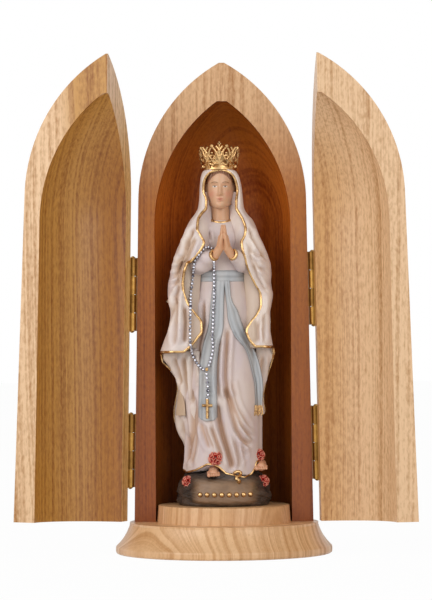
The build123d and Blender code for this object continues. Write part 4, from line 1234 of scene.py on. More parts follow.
def rock_material():
    """Dark painted rock, partly darkened further as painted shade, with a smoother, browner front that is
    partly lightened as painted light.
    """
    material, t, shader = new_material("rock_paint")
    place = object_place(t)
    rough = noise(t, place, 230.0, 5.0)
    colour = mixed(t, spread(t, rough, 0.3, 0.7), *ROCK_TONES_AND_SHADE)
    # The front, lighter partly as painted light
    panel = maths(t, "MULTIPLY", stored(t, "panel"), 0.9)
    colour = mixed(t, panel, colour, mixed(t, rough, *ROCK_FRONT_TONES_AND_LIGHT))
    moss = spread(t, noise(t, place, 160.0, 3.0), 0.6, 0.72)
    colour = mixed(t, maths(t, "MULTIPLY", moss, 0.3), colour, MOSS)
    coated(t, shader, colour, added(t, rough, 0.25, 0.35))
    bump(t, shader, rough, 0.35, 0.0005)
    return material


def rose_material():
    """Red petals with painted highlights on their edges."""
    material, t, shader = new_material("rose_paint")
    rim = stored(t, "rim")
    speck = noise(t, object_place(t), 900.0, 3.0)
    deep = mixed(t, speck, *ROSE_SHADES)
    # Painted highlight on the petals' edges
    edge = spread(t, added(t, from_middle(t, speck), 0.3, rim), 0.74, 1.1)
    coated(t, shader, mixed(t, edge, deep, ROSE_EDGE_HIGHLIGHT), added(t, speck, 0.15, 0.35))
    return material


def finishes():
    """The figure's materials, made once."""
    if not FINISHES:
        look = bpy.context.scene.niche_colours
        lining = tuple(look.lining)
        FINISHES["gown"] = cloth_material("gown_paint", tuple(look.gown), *GOWN_SHADES)
        FINISHES["mantle"] = cloth_material("mantle_paint", tuple(look.mantle), *MANTLE_SHADES, lining)
        FINISHES["sash"] = cloth_material("sash_paint", tuple(look.sash), *SASH_SHADES)
        FINISHES["gilt"] = metal_material("gilt_metal", tuple(look.gilt), tuple(look.worn_gilt), **GILT)
        FINISHES["skin"] = skin_material()
        FINISHES["rock"] = rock_material()
        FINISHES["rose"] = rose_material()
        FINISHES["beads"] = metal_material("bead_silver", *BEAD_SHADES, **SILVER)
    return FINISHES


# Radii of the gilt edges, wires and bars, in millimetres
GILT_RADII = {
    "gown_hem": 0.42, "hem_curl": 0.68, "collar": 0.55, "cuffs": 0.62, "mantle_edge": 0.6,
    "mantle_hem": 0.28, "sash_fringe": 0.24, "crown_scrolls": 0.46, "bead_cross": 0.6, "bead_heart": 0.85,
}
GILT_STEP = 0.5


def gilt_tube(name, routes):
    """A gilt edge along routes, riding on the niche."""
    settings = {"Radius": GILT_RADII[name] * MM, "Step": GILT_STEP * MM, "Material": finishes()["gilt"]}
    obj = grown(name, chain_mesh(name, routes), "tube", settings)
    return seat(obj, finishes()["gilt"], "gilt_metal")


# Settings
def length(name, description, millimetres):
    """A setting for a length, with its default in millimetres."""
    return bpy.props.FloatProperty(
        name=name, description=description, default=millimetres * MM, unit="LENGTH"
    )


def colour(name, description, *screen):
    """A setting for a colour, with its default as a screen colour, 0 to 255."""
    return bpy.props.FloatVectorProperty(
        name=name, description=description, subtype="COLOR", size=4, default=linear(*screen)
    )


class NicheSizes(bpy.types.PropertyGroup):
    """Sizes of the dressing, in metres."""

    screw_radius: length("Screw radius", "Radius of a hinge screw's head", 1.15)
    screw_rise: length("Screw rise", "How far a screw's head stands out of its leaf", 0.28)
    stud_radius: length("Stud radius", "Radius of a gilt bead on the rock", 1.05)
    stud_pitch: length("Stud pitch", "Distance between gilt beads on the rock", 2.75)
    bead_radius: length("Bead radius", "Radius of a bead on the chain", 0.7)
    bead_pitch: length("Bead pitch", "Distance between beads on the chain", 1.52)


class NicheColours(bpy.types.PropertyGroup):
    """Colours of the finishes."""

    pale_wood: colour("Pale wood", "Early wood of the case", 234, 195, 152)
    dark_wood: colour("Dark wood", "Late wood of the case", 164, 108, 42)
    base_pale: colour("Pale base", "Early wood of the base", 228, 186, 140)
    base_dark: colour("Dark base", "Late wood of the base", 178, 122, 62)
    # Painted shade inside the niche, as a darker, warmer tint
    stain: colour("Stain", "Stain inside the niche", 228, 154, 70)
    # The niche's front rim: its own darker tone, with painted shade low down and painted light at the top of
    # the arch
    rim_stain: colour("Rim stain", "Stain on the niche's front rim", 190, 138, 56)
    # Painted shade inside the left door's hollow
    left_stain: colour("Left stain", "Stain inside the left door", 212, 184, 112)
    # Darker tint on the right door beside its hinges
    hinge_stain: colour("Hinge stain", "Darker wood of the right door beside its hinges", 222, 202, 164)
    # A reddish streak with painted shade in the left door's hollow by a hinge
    left_hinge_stain: colour("Left hinge stain", "Tint of the left door's hollow by a hinge", 209, 182, 131)
    # Paler golden tint on the left door's flat face by a hinge, spared the painted shade
    face_stain: colour("Face stain", "Tint of the left door's flat face by a hinge", 255, 250, 208)
    brass: colour("Brass", "Bright brass of the hinges", 196, 150, 78)
    tarnish: colour("Tarnish", "Dull brass of the hinges", 118, 80, 38)
    gown: colour("Gown", "Paint of the gown", 215, 199, 191)
    mantle: colour("Mantle", "Paint of the mantle and veil", 232, 218, 208)
    lining: colour("Lining", "Paint inside the mantle", 196, 170, 142)
    sash: colour("Sash", "Paint of the sash", 192, 192, 192)
    gilt: colour("Gilt", "Bright gold leaf", 210, 172, 120)
    worn_gilt: colour("Worn gilt", "Gold leaf worn brown", 132, 92, 52)


def door_axis(word):
    """Where the shell's axis lies once a door has swung open about its hinge line, in metres."""
    side = DOORS[word][1]
    hinge = Vector((side * HINGE_ACROSS, 0.0, 0.0))
    swing = Matrix.Rotation(math.radians(side * DOOR_SWINGS[word]), 3, "Z")
    return tuple((hinge - swing @ hinge) * MM)


class NICHE_OT_wood(bpy.types.Operator):
    """Finish the turned base, the shell and the doors in waxed wood"""

    bl_idname = "niche.wood"
    bl_label = "Wood"

    def execute(self, context):
        look = context.scene.niche_colours
        case = {"Pale": tuple(look.pale_wood), "Dark": tuple(look.dark_wood)}
        base = {"Pale": tuple(look.base_pale), "Dark": tuple(look.base_dark)}
        base.update({"Line depth": 0.62, "Line pitch": 0.0026, "Band depth": 0.12})
        base.update({"Fibre depth": 0.25, "Fleck depth": 0.5})
        left = {"Line depth": 0.5, "Band depth": 0.42, "Line pitch": 0.0015}
        right = {"Line depth": 0.34, "Band depth": 0.42}
        left_hinge = (-HINGE_ACROSS * MM, 0.0, 0.0), tuple(look.left_hinge_stain), tuple(look.face_stain)
        right_hinge = (HINGE_ACROSS * MM, 0.0, 0.0), tuple(look.hinge_stain), tuple(look.hinge_stain)
        niche_tints = {"hollow": ((0.0, 0.0, 0.0), tuple(look.stain)), "rim": tuple(look.rim_stain)}
        left_door_tints = {"hollow": (door_axis("left"), tuple(look.left_stain)), "hinge": left_hinge}
        woods = {
            "base_foot": (base, (-0.12, -0.10, 0.0), {}),
            "base_plinth": (base, (-0.10, 0.08, 0.0), {}),
            "niche_shell": (case, (0.055, 0.10, 0.0), niche_tints),
            "left_door": ({**case, **left}, (-0.15, -0.09, 0.0), left_door_tints),
            "right_door": ({**case, **right}, (0.16, -0.08, 0.0), {"hinge": right_hinge}),
        }
        for name, (settings, pith, tints) in woods.items():
            paint(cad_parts[name], wood_material(f"{name}_wood", {**settings, "Pith": pith}, **tints))
        return {"FINISHED"}


class NICHE_OT_hinges(bpy.types.Operator):
    """Finish the hinges in brass and set their screws"""

    bl_idname = "niche.hinges"
    bl_label = "Hinges"

    def execute(self, context):
        look, sizes = context.scene.niche_colours, context.scene.niche_sizes
        bright, dull = tuple(look.brass), tuple(look.tarnish)
        brass = metal_material("hinge_brass", bright, dull, **BRASS)
        # Painted shade: a darker copy of the same brass for the leaves and knuckles on the niche's side of
        # each hinge
        shaded = tuple(c * 0.6 for c in dull)
        shaded_brass = metal_material("niche_leaf_brass", mix_colours(bright, dull, 0.6), shaded, **BRASS)
        for name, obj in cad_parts.items():
            if "_hinge_" in name:
                paint(obj, shaded_brass if "niche_leaf" in name else brass)
        head = self.screw_head(sizes)
        for body, places in self.screw_places().items():
            name = f"{body}_screws"
            spots = [p for p, _ in places]
            turns = [n.to_track_quat("Z", "Y").to_euler() for _, n in places]
            source = spot_mesh(name, spots, turns, [sizes.screw_radius / MM] * len(spots))
            screws = grown(name, source, "repeat", {"Piece": head, "Material": brass})
            paint(screws, brass)
            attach(screws, body)
        bpy.data.objects.remove(head)
        return {"FINISHED"}

    def screw_head(self, sizes):
        """A low domed head of radius 1 with a slot, seated at the origin."""
        turn = np.linspace(0, 2 * math.pi, 48, endpoint=False)
        share = np.linspace(1, 0.02, 20)[:, None]
        x, y = share * np.cos(turn), share * np.sin(turn)
        rise = sizes.screw_rise / sizes.screw_radius
        z = rise * (0.35 + 0.65 * np.sqrt(1 - 0.98 * share**2)) - 0.7 * rise * step(-np.abs(y), -0.2, -0.12)
        z = np.maximum(z, 0.1 * rise)
        z[0] = 0.0
        head = closed_skin("screw_head", np.stack([x, y, z], axis=2))
        return at_origin(head)

    def screw_places(self):
        """Spots and outward directions of the screws, in metres, for each body."""
        places = {ROOT: []}
        for word, (leaf, side) in DOORS.items():
            foot = Vector((side * HINGE_ACROSS, 0.0, SHELL_FOOT))
            lean = Vector((-side * SHELL_TAPER, 0.0, 1.0)).normalized()
            swing = Matrix.Rotation(math.radians(side * DOOR_SWINGS[word]), 3, lean)
            places[leaf] = []
            for centre in HINGE_HEIGHTS[word]:
                for along, turn in SCREW_SPOTS:
                    up = centre + along
                    radius = SHELL_LOW_RADIUS - SHELL_TAPER * up + LEAF_THICKNESS - SCREW_SINK
                    for ward, body in ((1, ROOT), (-1, leaf)):
                        out = Vector((side * math.cos(turn), ward * math.sin(turn), SHELL_TAPER))
                        spot = Vector((out.x * radius, out.y * radius, SHELL_FOOT + up))
                        if body != ROOT:
                            spot, out = foot + swing @ (spot - foot), swing @ out
                        places[body].append((spot * MM, out))
        return places


class NICHE_OT_rock(bpy.types.Operator):
    """Carve the rock that the figure stands on"""

    bl_idname = "niche.rock"
    bl_label = "Rock"

    def execute(self, context):
        turn = full_turn(200)
        height = np.linspace(0, 1, 90) ** 0.9 * ROCK_ROWS[-1][0]
        half_width, half_depth = smooth_table(ROCK_ROWS, height).T
        grid = turned_grid(turn, height, half_width, half_depth, middle=ROCK_MIDDLE)
        x, z = grid[..., 0], grid[..., 2]
        panel = window(x, (-14.5, -9.5), (10.5, 15.5)) * window(z, (0.2, 2.6), (8.5, 12.5))
        panel = panel * (np.cos(turn) > 0)[None, :]
        normals = grid_normals(grid, True)
        lumps = wander(turn * 4, 3)[None, :] * 0.35 + wander(z * 0.9 + turn[None, :] * 3, 5) * 0.35
        lumps = lumps + wander(turn[None, :] * 11 - z * 1.7, 8) * 0.16
        lumps = (lumps - 0.35) * (1 - 0.85 * panel) * step(z, 0.0, 1.2) + 0.25 * panel
        grid = grid + normals * lumps[..., None]
        obj = closed_skin("rock", grid, {"panel": panel})
        PIECES["rock"] = seat(obj, finishes()["rock"], "rock_paint", "figure_rock")
        front = surface_finder(obj)
        row = [(x, front(x, STUD_HEIGHT) - STUD_RISE, STUD_HEIGHT) for x in np.linspace(*STUD_SPAN, 40)]
        sizes = context.scene.niche_sizes
        settings = {"Radius": sizes.stud_radius, "Pitch": sizes.stud_pitch, "Material": finishes()["gilt"]}
        studs = grown("rock_beads", chain_mesh("rock_beads", [row]), "beads", settings)
        seat(studs, finishes()["gilt"], "gilt_metal")
        return {"FINISHED"}


class NICHE_OT_gown(bpy.types.Operator):
    """Carve the gown with its sleeves, cuffs, collar and hem"""

    bl_idname = "niche.gown"
    bl_label = "Gown"

    def execute(self, context):
        grid, depth = carved_gown()
        gown = closed_skin("gown", grid, {"fold": depth})
        parts = [gown]
        for side, wrist in WRISTS.items():
            rings = sleeve_grid(side, wrist)[:, ::side]
            parts.append(closed_skin("sleeve", rings, {"fold": np.zeros(rings.shape[:2])}))
        gown = joined("gown", parts)
        PIECES["gown"] = seat(gown, finishes()["gown"], "gown_paint", "figure_gown")
        self.edges(grid)
        return {"FINISHED"}

    def edges(self, grid):
        """The gilt hem with its curl, the collar and the cuffs."""
        hem = np.vstack([grid[1], grid[1][:1]]) + (0, 0, -0.1)
        ledge = surface_finder(PIECES["rock"])
        for i in np.flatnonzero((hem[:, 1] < -8.0) & (np.abs(hem[:, 0]) < 11.5)):
            x, y, z = hem[i]
            hem[i, 1] = min(y, ledge(x, z))
        gilt_tube("gown_hem", [hem])
        front = surface_finder(PIECES["gown"], PIECES["rock"])
        gilt_tube("hem_curl", [[(x, front(x, z) - 0.35, z) for x, z in smooth_route(HEM_CURL, 50)]])
        turn = np.linspace(0, 2 * math.pi, 60)
        across, depth, height = COLLAR_MIDDLE
        wide, deep, dip = COLLAR_REACH
        round_neck = [(math.sin(a), math.cos(a)) for a in turn]
        collar = [(across + wide * u, depth - deep * v, height - dip * v) for u, v in round_neck]
        gilt_tube("collar", [collar])
        cuffs = []
        for side, middle in CUFFS.items():
            run = Vector((-side * 9.0, -11.0, 3.4)).normalized()
            out = run.cross(Vector((0, 0, 1))).normalized()
            rise = out.cross(run)
            ring = [Vector(middle) + (out * math.cos(a) + rise * math.sin(a)) * CUFF_RADIUS for a in turn]
            cuffs.append([tuple(p) for p in ring])
        gilt_tube("cuffs", cuffs)


class NICHE_OT_mantle(bpy.types.Operator):
    """Carve the mantle and veil with their gilt edges"""

    bl_idname = "niche.mantle"
    bl_label = "Mantle"

    def execute(self, context):
        grid, depth, normals = carved_mantle()
        x, z = grid[..., 0], grid[..., 2]
        turned = window(x, (-14.6, -13.6), (-9.2, -8.2)) * window(z, (64, 66), (77, 80))
        turned = turned + window(x, (9.2, 10.2), (13.2, 14.4)) * window(z, (65, 67), (74, 77))
        turned = turned * (normals[..., 1] < 0)
        obj = shell_skin("mantle", grid, normals, MANTLE_THICKNESS, {"fold": depth})
        lining = obj.data.attributes["lining"].data
        values = np.zeros(len(lining), np.float32)
        lining.foreach_get("value", values)
        values[: turned.size] = np.maximum(values[: turned.size], turned.ravel() * 0.8)
        lining.foreach_set("value", values)
        parts = [obj] + [self.panel(label, rows) for label, rows in INNER_PANELS.items()]
        mantle = joined("mantle", parts)
        PIECES["mantle"] = seat(mantle, finishes()["mantle"], "mantle_paint", "figure_mantle")
        edge = grid - normals * EDGE_INSET
        opening = int(np.argmin(np.abs(grid[:, 0, 2] - VEIL_OPENING)))
        low = np.flatnonzero(edge[0][:, 2] < THIN_HEM)
        sides = [edge[0][low[-1]:], edge[1:opening, -1], edge[opening:0:-1, 0], edge[0][: low[0] + 1]]
        gilt_tube("mantle_edge", [np.vstack(sides)])
        gilt_tube("mantle_hem", [edge[0][low[0]: low[-1] + 1]])
        return {"FINISHED"}

    def panel(self, label, rows):
        """One sheet inside the mantle or below it."""
        kind = label.split("_")[1]
        lined, shade = PANEL_SHADES[kind]
        grid = panel_grid(rows, *PANEL_COUNTS.get(kind, ()))
        folds = np.full(grid.shape[:2], shade)
        if kind == "flap":
            grid, folds = carve(grid, grid_normals(grid, False), FLAP_CREASES)
        sheet = shell_skin(label, grid, grid_normals(grid, False), PANEL_THICKNESS, {"fold": folds})
        lining = np.full(2 * folds.size, lined, np.float32)
        sheet.data.attributes["lining"].data.foreach_set("value", lining)
        return sheet


def head_grid(around=280, up=220):
    """A calm, plain face on a smooth head, and the share of hair on it."""
    bend = np.linspace(-1, 1, around, endpoint=False)
    turn = math.pi * (0.62 * bend + 0.38 * bend**3)
    height = np.linspace(HEAD_ROWS[0][0], HEAD_ROWS[-1][0], up)
    half_width, front, back = smooth_table(HEAD_ROWS, height).T
    x = half_width[:, None] * np.sin(turn)[None, :]
    depth = np.where(np.cos(turn)[None, :] > 0, -front[:, None], back[:, None])
    ahead = np.where(np.cos(turn) > 0, np.abs(np.cos(turn)) ** 0.86, -np.abs(np.cos(turn)))
    middle = np.where(front > back, 0.0, np.minimum(0.0, (back - 1.5) * 0.6))[:, None]
    y = middle - (depth + np.where(np.cos(turn)[None, :] > 0, middle, -middle)) * ahead[None, :]
    z = np.repeat(height[:, None], around, axis=1)
    fore = step(np.cos(turn), 0.05, 0.4)[None, :]
    ridge = np.exp(-((x / 0.72) ** 2))
    out = ridge * np.interp(z, *np.array(NOSE).T)
    for rise, (across, level), size in FACE_FORMS:
        for side in (-1, 1) if across else (1,):
            out += rise * hump(x, z, (side * across, level), size)
    temples = step(-np.cos(turn)[None, :], -0.3, -0.12) * step(z, 121.5, 123.5)
    hair = np.maximum(step(z - (135.3 - 0.17 * x**2), -0.2, 0.2), temples)
    strands = (0.14 * np.cos(np.abs(x) * 8 + z * 2.6) + 0.9 * temples * step(-z, -136, -132)) * hair
    grid = np.stack([x, y - out * fore, z], axis=2)
    normals = grid_normals(grid, True)
    return grid + normals * (0.5 * hair + strands)[..., None], hair


def face_tint(grid, hair):
    """Paint of the head: flesh, blush, lips, brows, eyes and hair, with painted highlights along the hair's
    raised strands.
    """
    x, z = grid[..., 0], grid[..., 2]
    front = grid[..., 1] < -3.0

    def lay(colour, share):
        nonlocal tint
        tint = tint * (1 - share[..., None]) + np.array(linear(*colour)) * share[..., None]

    tint = np.ones((*x.shape, 4)) * np.array(linear(*FACE_COLOUR))
    for side in (-1, 1):
        away = side * x
        for shade, strength, place, size in CHEEK_PAINTS:
            lay(shade, strength * hump(away, z, place, size))
        arch = 131.83 - 0.2 * (away - 2.2) ** 2
        brow = step(-np.abs(z - arch), -0.26, -0.1) * window(away, (0.8, 1.2), (3.4, 3.9))
        lay(BROW_COLOUR, 0.8 * brow * front)
        white = step(-(((away - EYE_ACROSS) / 0.98) ** 2 + ((z - 130.02) / 0.36) ** 2), -1.15, -0.8)
        lay(EYE_WHITE, white * front)
        iris = step(-(((away - 2.1) / 0.36) ** 2 + ((z - 130.04) / 0.36) ** 2), -1.15, -0.8)
        lay(IRIS_COLOUR, iris * white * front)
        lid = 130.34 - 0.2 * (away - EYE_ACROSS) ** 2
        lash = step(-np.abs(z - lid), -0.17, -0.05) * step(-np.abs(away - EYE_ACROSS), -1.2, -0.95)
        lay(LASH_COLOUR, 0.85 * lash * front)
    for shade, strength, place, size in MOUTH_PAINTS:
        lay(shade, strength * hump(x, z, place, size) * front)
    # Painted highlight along the raised strands of hair
    streak = 0.5 + 0.5 * np.cos(np.abs(x) * 8 + z * 2.6)
    lay(HAIR_TONE_AND_HIGHLIGHT[0], hair)
    lay(HAIR_TONE_AND_HIGHLIGHT[1], 0.55 * hair * streak)
    return tint


class NICHE_OT_head(bpy.types.Operator):
    """Carve the head, its hair and the neck"""

    bl_idname = "niche.head"
    bl_label = "Head"

    def execute(self, context):
        grid, hair = head_grid()
        tint = face_tint(grid, hair)
        head = closed_skin("head", grid + (HEAD_ACROSS, 0, 0), {"tint": tint})
        turn = full_turn(64)
        height = np.linspace(NECK_ROWS[0][0], NECK_ROWS[-1][0], 40)
        radius = np.interp(height, *np.array(NECK_ROWS).T)
        across = np.interp(height, height[[0, -1]], [NECK_FOOT_ACROSS, HEAD_ACROSS])
        rings = turned_grid(turn, height, radius, radius * 0.94, across, -0.7)
        flesh = np.ones((*rings.shape[:2], 4)) * np.array(linear(*NECK_COLOUR))
        neck = closed_skin("neck", rings, {"tint": flesh})
        seat(joined("head", [head, neck]), finishes()["skin"], "flesh_paint", "figure_head")
        return {"FINISHED"}


def flesh_coloured(obj, colour):
    """Keeps one flesh colour on a piece's points."""
    count = len(obj.data.vertices)
    tint = np.ones((count, 4), np.float32) * np.array(linear(*colour), np.float32)
    obj.data.attributes.new("tint", "FLOAT_COLOR", "POINT").data.foreach_set("color", tint.ravel())
    return obj


class NICHE_OT_hands(bpy.types.Operator):
    """Carve the joined hands and the bare feet"""

    bl_idname = "niche.hands"
    bl_label = "Hands and feet"

    def execute(self, context):
        fingers = [
            ((0.92, -16.0 + i, 108.6, 0.86), (0.5, -16.9 + 0.9 * i, 113.6 - drop, 0.5))
            for i, drop in enumerate(FINGER_DROPS)
        ]
        rods = []
        for side in (-1, 1):
            for rod in PALM_RODS + fingers + THUMB_RODS:
                rods.append([((HANDS_ACROSS + side * x, y, z), radius) for x, y, z, radius in rod])
        hands = flesh_coloured(fused("hands", rods, 0.16), HAND_COLOUR)
        seat(hands, finishes()["skin"], "flesh_paint", "figure_hands")
        rods = []
        for across, tip, height in FEET:
            rods.append((((across, tip + 7.0, height + 0.6), 2.2), ((across, tip + 2.8, height - 0.2), 1.8)))
            for i, radius in enumerate(TOE_RADII):
                x = across + (i - 1.9) * TOE_PITCH
                root = ((x, tip + 3.2, height - 0.1), radius)
                rods.append((root, ((x, tip + 0.3 * i, height - 0.9), radius * 0.86)))
        feet = flesh_coloured(fused("feet", rods, 0.15, 1), FEET_COLOUR)
        seat(feet, finishes()["skin"], "flesh_paint", "figure_feet")
        return {"FINISHED"}


class NICHE_OT_sash(bpy.types.Operator):
    """Lay the sash with its two tails over the gown"""

    bl_idname = "niche.sash"
    bl_label = "Sash"

    def execute(self, context):
        front = surface_finder(PIECES["gown"])
        parts = [self.band()]
        middle = np.array(SASH_LEFT)
        half = np.interp(middle[:, 1], *np.array(SASH_HALF_WIDTHS).T)
        left = np.column_stack([middle[:, 0] - half, middle[:, 1]])
        right = np.column_stack([middle[:, 0] + half, middle[:, 1]])
        parts.append(self.tail(left, right, front, 0.85, True))
        parts.append(self.tail(np.array(SASH_RIGHT_INNER), np.array(SASH_RIGHT_OUTER), front, 1.05, False))
        obj = joined("sash", parts)
        PIECES["sash"] = seat(obj, finishes()["sash"], "sash_paint", "figure_sash")
        fringe = []
        for i, x in enumerate(np.linspace(*FRINGE_SPAN, 6)):
            y = min(front(x, 38.0), SASH_BACKMOST) - 0.9
            fringe.append([(x, y, FRINGE_TOP), (x + 0.15 * (i - 2), y - 0.2, FRINGE_FOOT + 0.5 * (i % 2))])
        gilt_tube("sash_fringe", fringe)
        return {"FINISHED"}

    def band(self):
        """The band round the waist."""
        turn = full_turn(160)
        height = np.linspace(*BAND_SPAN, 26)
        share = (height - height[0]) / (height[-1] - height[0])
        half_width, half_depth = smooth_table(GOWN_ROWS, height).T
        swell = 0.7 * np.sqrt(np.clip(1 - (2 * share - 1) ** 4, 0, 1)) - 0.3 + 0.1 * np.cos(share * 14)
        rings = turned_grid(turn, height, half_width + swell, half_depth + swell, middle=-0.4)
        # Painted shade in the band's ripples
        fold = np.repeat((0.3 - 0.3 * np.cos(share * 14 + math.pi))[:, None], len(turn), axis=1)
        return closed_skin("sash_band", rings, {"fold": fold})

    def tail(self, left, right, front, lift, rounded):
        """One tail between two edge lines in the front view, lying on the gown."""
        rows, columns = 110, 26
        edge_l, edge_r = smooth_route(left, rows)[::-1], smooth_route(right, rows)[::-1]
        share = np.linspace(0, 1, columns)
        flat = edge_l[:, None, :] * (1 - share)[None, :, None] + edge_r[:, None, :] * share[None, :, None]
        if rounded:
            flat[:14, :, 1] += (np.abs(2 * share - 1)[None, :] ** 3) * np.linspace(1, 0, 14)[:, None] * 1.6
        depth = np.array([[min(front(x, z), SASH_BACKMOST) for x, z in row] for row in flat])
        bridge(depth, 6)
        round_edge = np.clip(1 - (2 * share - 1) ** 6, 0, 1) ** 0.5
        pleat = np.cos(share * 13.5 + 0.6)[None, :] * np.linspace(0.5, 1.0, rows)[::-1, None]
        depth = depth - (lift * (0.35 + 0.65 * round_edge))[None, :] - 0.16 * pleat
        grid = np.stack([flat[..., 0], depth, flat[..., 1]], axis=2)
        normals = grid_normals(grid, False)
        # Painted shade in the pleats' hollows and along both edges, and the whole tail a little darker
        fold = np.clip(-pleat * 0.35, 0, 1) + 0.25 * (np.abs(2 * share - 1)[None, :] > 0.9) + 0.3
        return shell_skin("sash_tail", grid, normals, 1.0, {"fold": fold})


def petal(size=9):
    """One cupped petal with its root at the origin."""
    a = np.linspace(-1, 1, size)[None, :]
    b = np.linspace(0, 1, size)[:, None]
    wide = 0.62 * np.sin(np.clip(b * 2.35 + 0.18, 0, math.pi)) ** 0.7
    x = a * wide
    y = 0.34 * a**2 * b + 0.30 * b**2.2 - 0.16 * b
    z = b * (1 - 0.12 * a**2) + 0 * a
    points = np.stack([x, y + 0 * b, z], axis=2)
    rim = np.maximum(np.abs(a) * b, b + 0 * a)
    return points, rim


class NICHE_OT_roses(bpy.types.Operator):
    """Set the four roses"""

    bl_idname = "niche.roses"
    bl_label = "Roses"

    def execute(self, context):
        points, rim = petal()
        normals = grid_normals(points, False)
        front = surface_finder(PIECES["gown"], PIECES["rock"])
        leaf = shell_skin("petal", points, normals, 0.07, {"rim": rim})
        at_origin(leaf)
        for name, (across, height, radius) in ROSES.items():
            depth = front(across, height, OPEN_DEPTH)
            places, turns, sizes = [], [], []
            tilt = Matrix.Rotation(math.radians(ROSE_TILT), 4, "X")
            for k, (count, length, lean, reach) in enumerate(PETAL_RINGS):
                for i in range(count):
                    spin = Matrix.Rotation(2 * math.pi * (i + 0.5 * (k % 2)) / count + 0.4 * k, 4, "Z")
                    root = tilt @ spin @ Vector((0, reach * radius * 0.55, -0.16 * k * radius))
                    places.append((across + root.x, depth - 0.2 * radius + root.y, height + root.z))
                    turns.append(tuple((tilt @ spin @ Matrix.Rotation(-lean, 4, "X")).to_euler()))
                    sizes.append(length * radius * 0.82)
            source = spot_mesh(name, figure_place(places), turns, sizes)
            piece = name.replace("rose_on_", "rose_")
            rose = grown(piece, source, "repeat", {"Piece": leaf, "Material": finishes()["rose"]})
            seat(rose, finishes()["rose"], "rose_paint", name)
        bpy.data.objects.remove(leaf)
        return {"FINISHED"}


# Crown, in millimetres: its axis across and in depth, its lean, its band as radius and height, its wall
CROWN_AXIS = (-1.1, 0.2)
CROWN_LEAN = 0.13
CROWN_BAND = [
    (6.2, 136.2), (7.0, 135.9), (7.35, 136.3), (7.1, 136.8), (7.0, 137.2), (7.05, 139.0), (7.4, 139.5),
    (7.2, 140.0), (6.6, 139.9), (6.4, 138.0),
]
CROWN_WALL_FOOT = 139.0
CROWN_WALL_RADIUS = 6.85
CROWN_FLARE = 0.17
CROWN_POINTS = 8
CROWN_GAP = math.pi / CROWN_POINTS
# Radii of the balls, and the right half of the front plate's outline across and up
CROWN_BALLS = {"crown_tips": 0.85, "crown_studs": 0.62, "crown_gems": 0.8}
PLATE_HALF = [
    (3.9, 137.0), (4.1, 138.9), (3.1, 139.8), (2.0, 139.9), (1.5, 141.2), (1.0, 142.4), (0.4, 143.6),
]
# Bars of the small cross: height of the middle, half width, half depth, half height
CROSS_BARS = [(146.6, 0.26, 0.26, 1.7), (147.3, 0.9, 0.26, 0.26)]
CROSS_AHEAD = 8.0


def on_band(angle, height, radius):
    """A point round the crown's axis, its front at angle zero."""
    ahead = radius * math.cos(angle)
    return (CROWN_AXIS[0] + radius * math.sin(angle), CROWN_AXIS[1] - ahead, height + CROWN_LEAN * ahead)


def on_wall(angle, height, out=0.0):
    """A point on the flaring wall of the crown."""
    return on_band(angle, height, CROWN_WALL_RADIUS + CROWN_FLARE * (height - CROWN_WALL_FOOT) + out)


